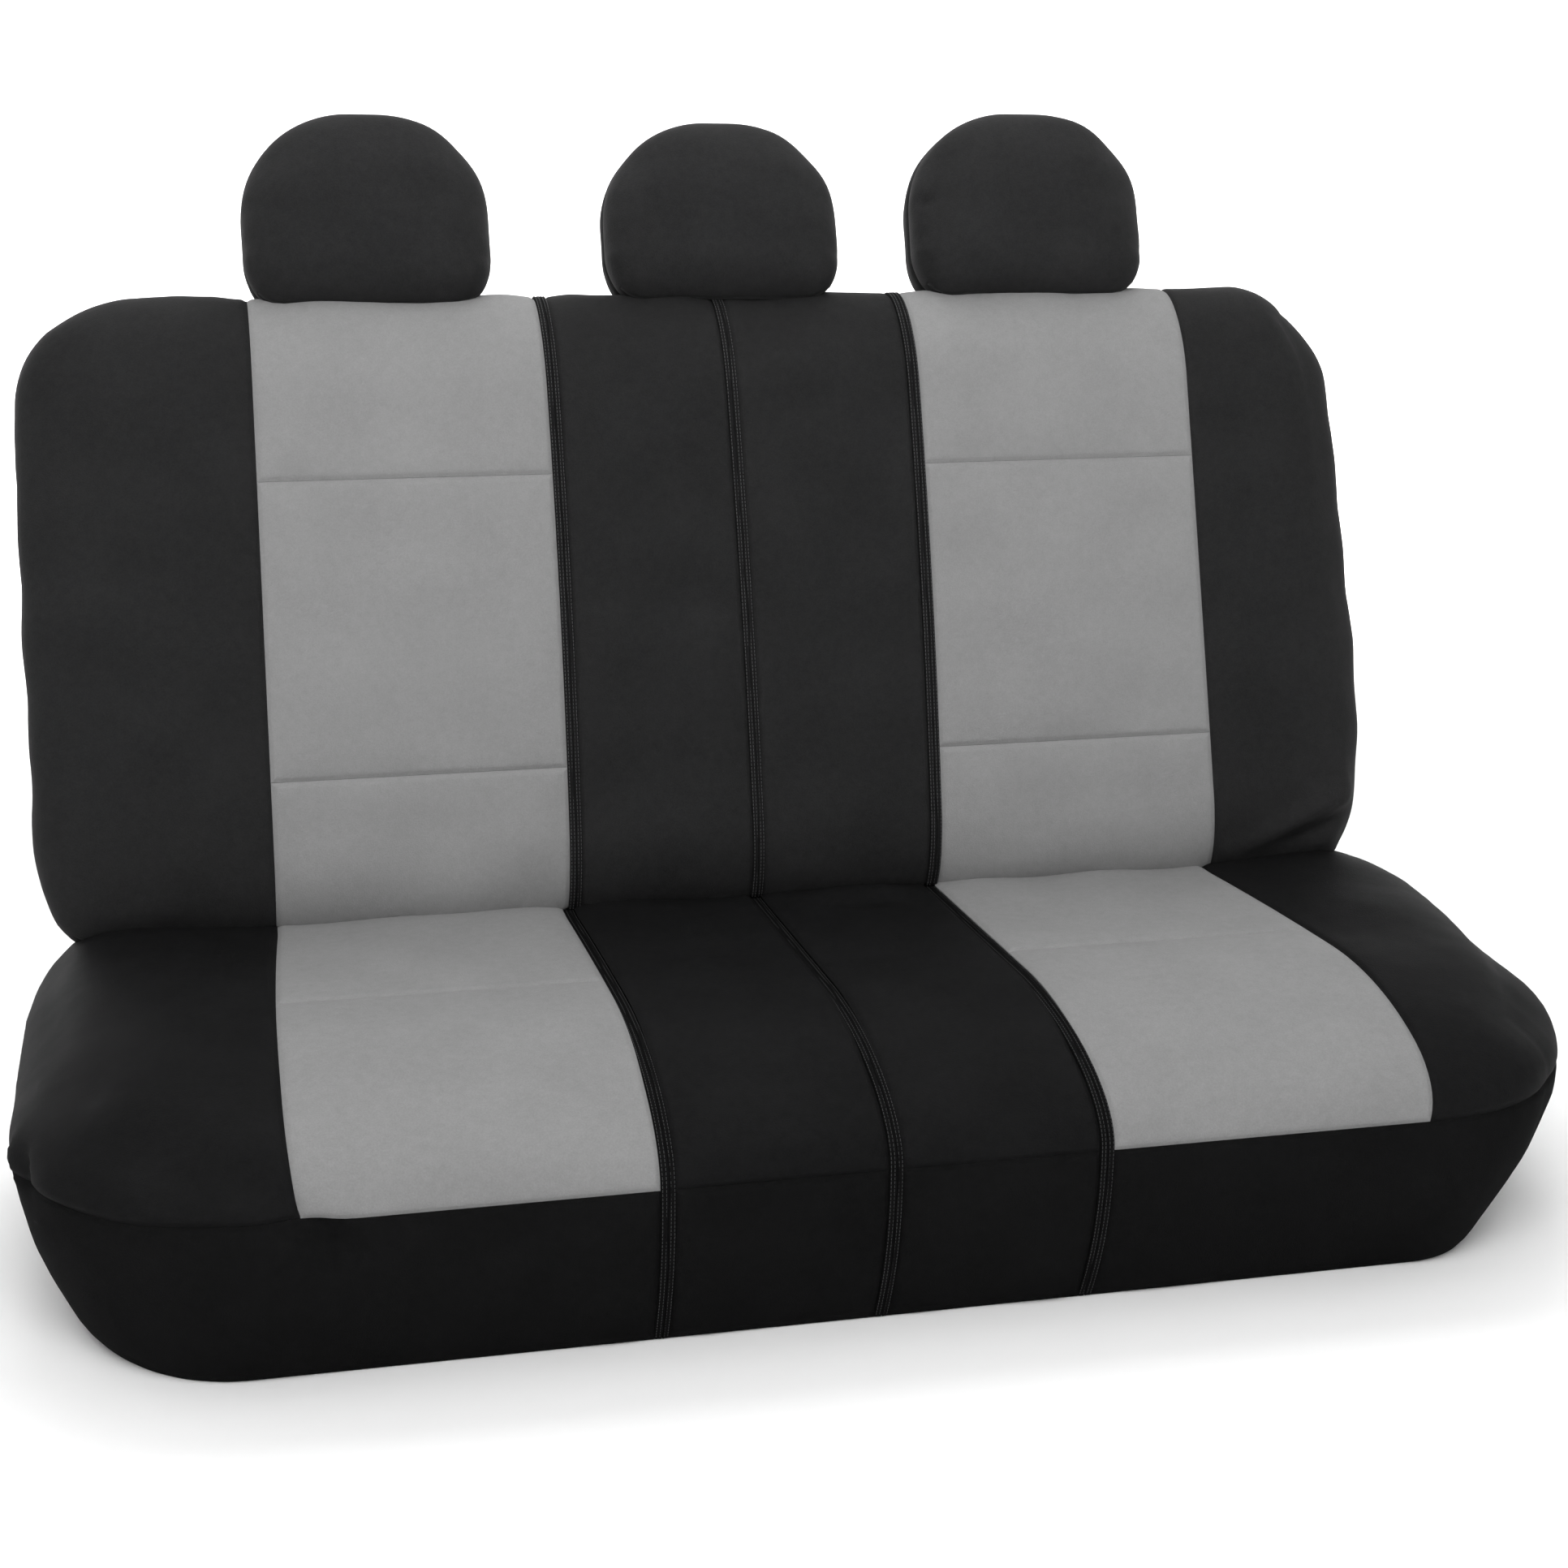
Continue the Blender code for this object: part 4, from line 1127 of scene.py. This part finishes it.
def straps_and_closures():
    """The two straps under the cushion, and the hook patch that shuts each headrest cover below."""
    for side in ("left", "right"):
        node = side + "_under_strap"
        low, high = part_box(node)
        middle = Matrix.Translation((low + high) / 2.0)
        width, length = high.x - low.x, high.y - low.y
        band(node + "_band", node, width, length, middle, STRAP_RIB, STRAP_CELL, ROOT)
    for name, (x, _, _) in HEADRESTS.items():
        node = name + "_headrest_closure"
        place = BACK_FRAME @ Matrix.Translation((x, HEAD_MIDDLE, HEAD_BOTTOM + CLOSURE_LIFT))
        body = name + "_headrest_cover"
        band(node + "_patch", node, *CLOSURE_SIZE, place, CLOSURE_RIB, CLOSURE_CELL, body)


SEAT_BOX = seat_cover()
BACK_BOX = back_cover()
headrest_covers()
zips(SEAT_BOX, BACK_BOX)
cross_seam_stitches(SEAT_BOX)
sliders()
straps_and_closures()


# ---------------------------- stage, light and camera

def stage():
    """A pale floor that curves up into a round wall, seen from every side."""
    radius, floor_radius, wall_height = 9.0, 6.0, 7.0
    bowl = bmesh.new()
    rings = []
    profile = [(0.0, 0.0), (floor_radius, 0.0)]
    for step in range(1, 9):
        turn = radians(90.0) * step / 8
        bend = radius - floor_radius
        profile.append((floor_radius + bend * np.sin(turn), bend * (1.0 - np.cos(turn))))
    profile.append((radius, wall_height))
    sectors = 64
    for distance, rise in profile[1:]:
        ring = []
        for step in range(sectors):
            turn = 2.0 * np.pi * step / sectors
            ring.append(bowl.verts.new((distance * np.cos(turn), distance * np.sin(turn), rise)))
        rings.append(ring)
    bowl.faces.new(rings[0])
    for inner, outer in zip(rings, rings[1:]):
        for step in range(sectors):
            after = (step + 1) % sectors
            bowl.faces.new((inner[step], outer[step], outer[after], inner[after]))
    data = bpy.data.meshes.new("floor")
    bowl.to_mesh(data)
    bowl.free()
    data.shade_smooth()
    floor = new_object("floor", data)
    floor.location.z = -0.0008
    data.materials.append(floor_material("pale_floor"))


def area_light(name, place, target, size, power):
    data = bpy.data.lights.new(name, "AREA")
    data.shape = "RECTANGLE"
    data.size, data.size_y = size
    data.energy = power
    lamp = new_object(name, data)
    lamp.location = place
    lamp.rotation_euler = (Vector(target) - Vector(place)).to_track_quat("-Z", "Y").to_euler()
    lamp.visible_camera = False


def lighting():
    world = bpy.data.worlds.new("studio")
    world.use_nodes = True
    world.node_tree.nodes["Background"].inputs["Color"].default_value = (1.0, 1.0, 1.0, 1.0)
    world.node_tree.nodes["Background"].inputs["Strength"].default_value = 0.44
    bpy.context.scene.world = world
    area_light("softbox_front", (-0.7, -2.6, 3.3), (0.0, 0.0, 0.45), (2.6, 1.6), 100.0)
    area_light("softbox_top", (0.1, -0.30, 2.9), (0.0, -0.15, 0.2), (2.4, 1.0), 8.0)
    area_light("softbox_rear", (0.1, 1.10, 2.6), (0.0, 0.10, 0.7), (2.4, 0.8), 26.0)
    area_light("backdrop_left", (-3.0, 2.6, 3.0), (-2.0, 9.0, 1.5), (3.0, 3.0), 420.0)
    area_light("backdrop_right", (3.0, 2.6, 3.0), (2.0, 9.0, 1.5), (3.0, 3.0), 420.0)
    bpy.context.scene.view_settings.view_transform = "Standard"


def camera():
    """The photograph's view: from the front left, a little above, with a short telephoto lens."""
    azimuth, elevation, distance = radians(-13.134), radians(14.06), 2.623
    target = CREASE + Vector((0.023, 0.0, 0.1257))
    back = Vector((
        np.sin(azimuth) * np.cos(elevation),
        -np.cos(azimuth) * np.cos(elevation),
        np.sin(elevation),
    ))
    data = bpy.data.cameras.new("camera")
    data.sensor_width = 36.0
    data.lens = 61.5
    eye = new_object("camera", data)
    eye.location = target + back * distance
    eye.rotation_euler = (-back).to_track_quat("-Z", "Y").to_euler()
    bpy.context.scene.camera = eye


stage()
lighting()
camera()
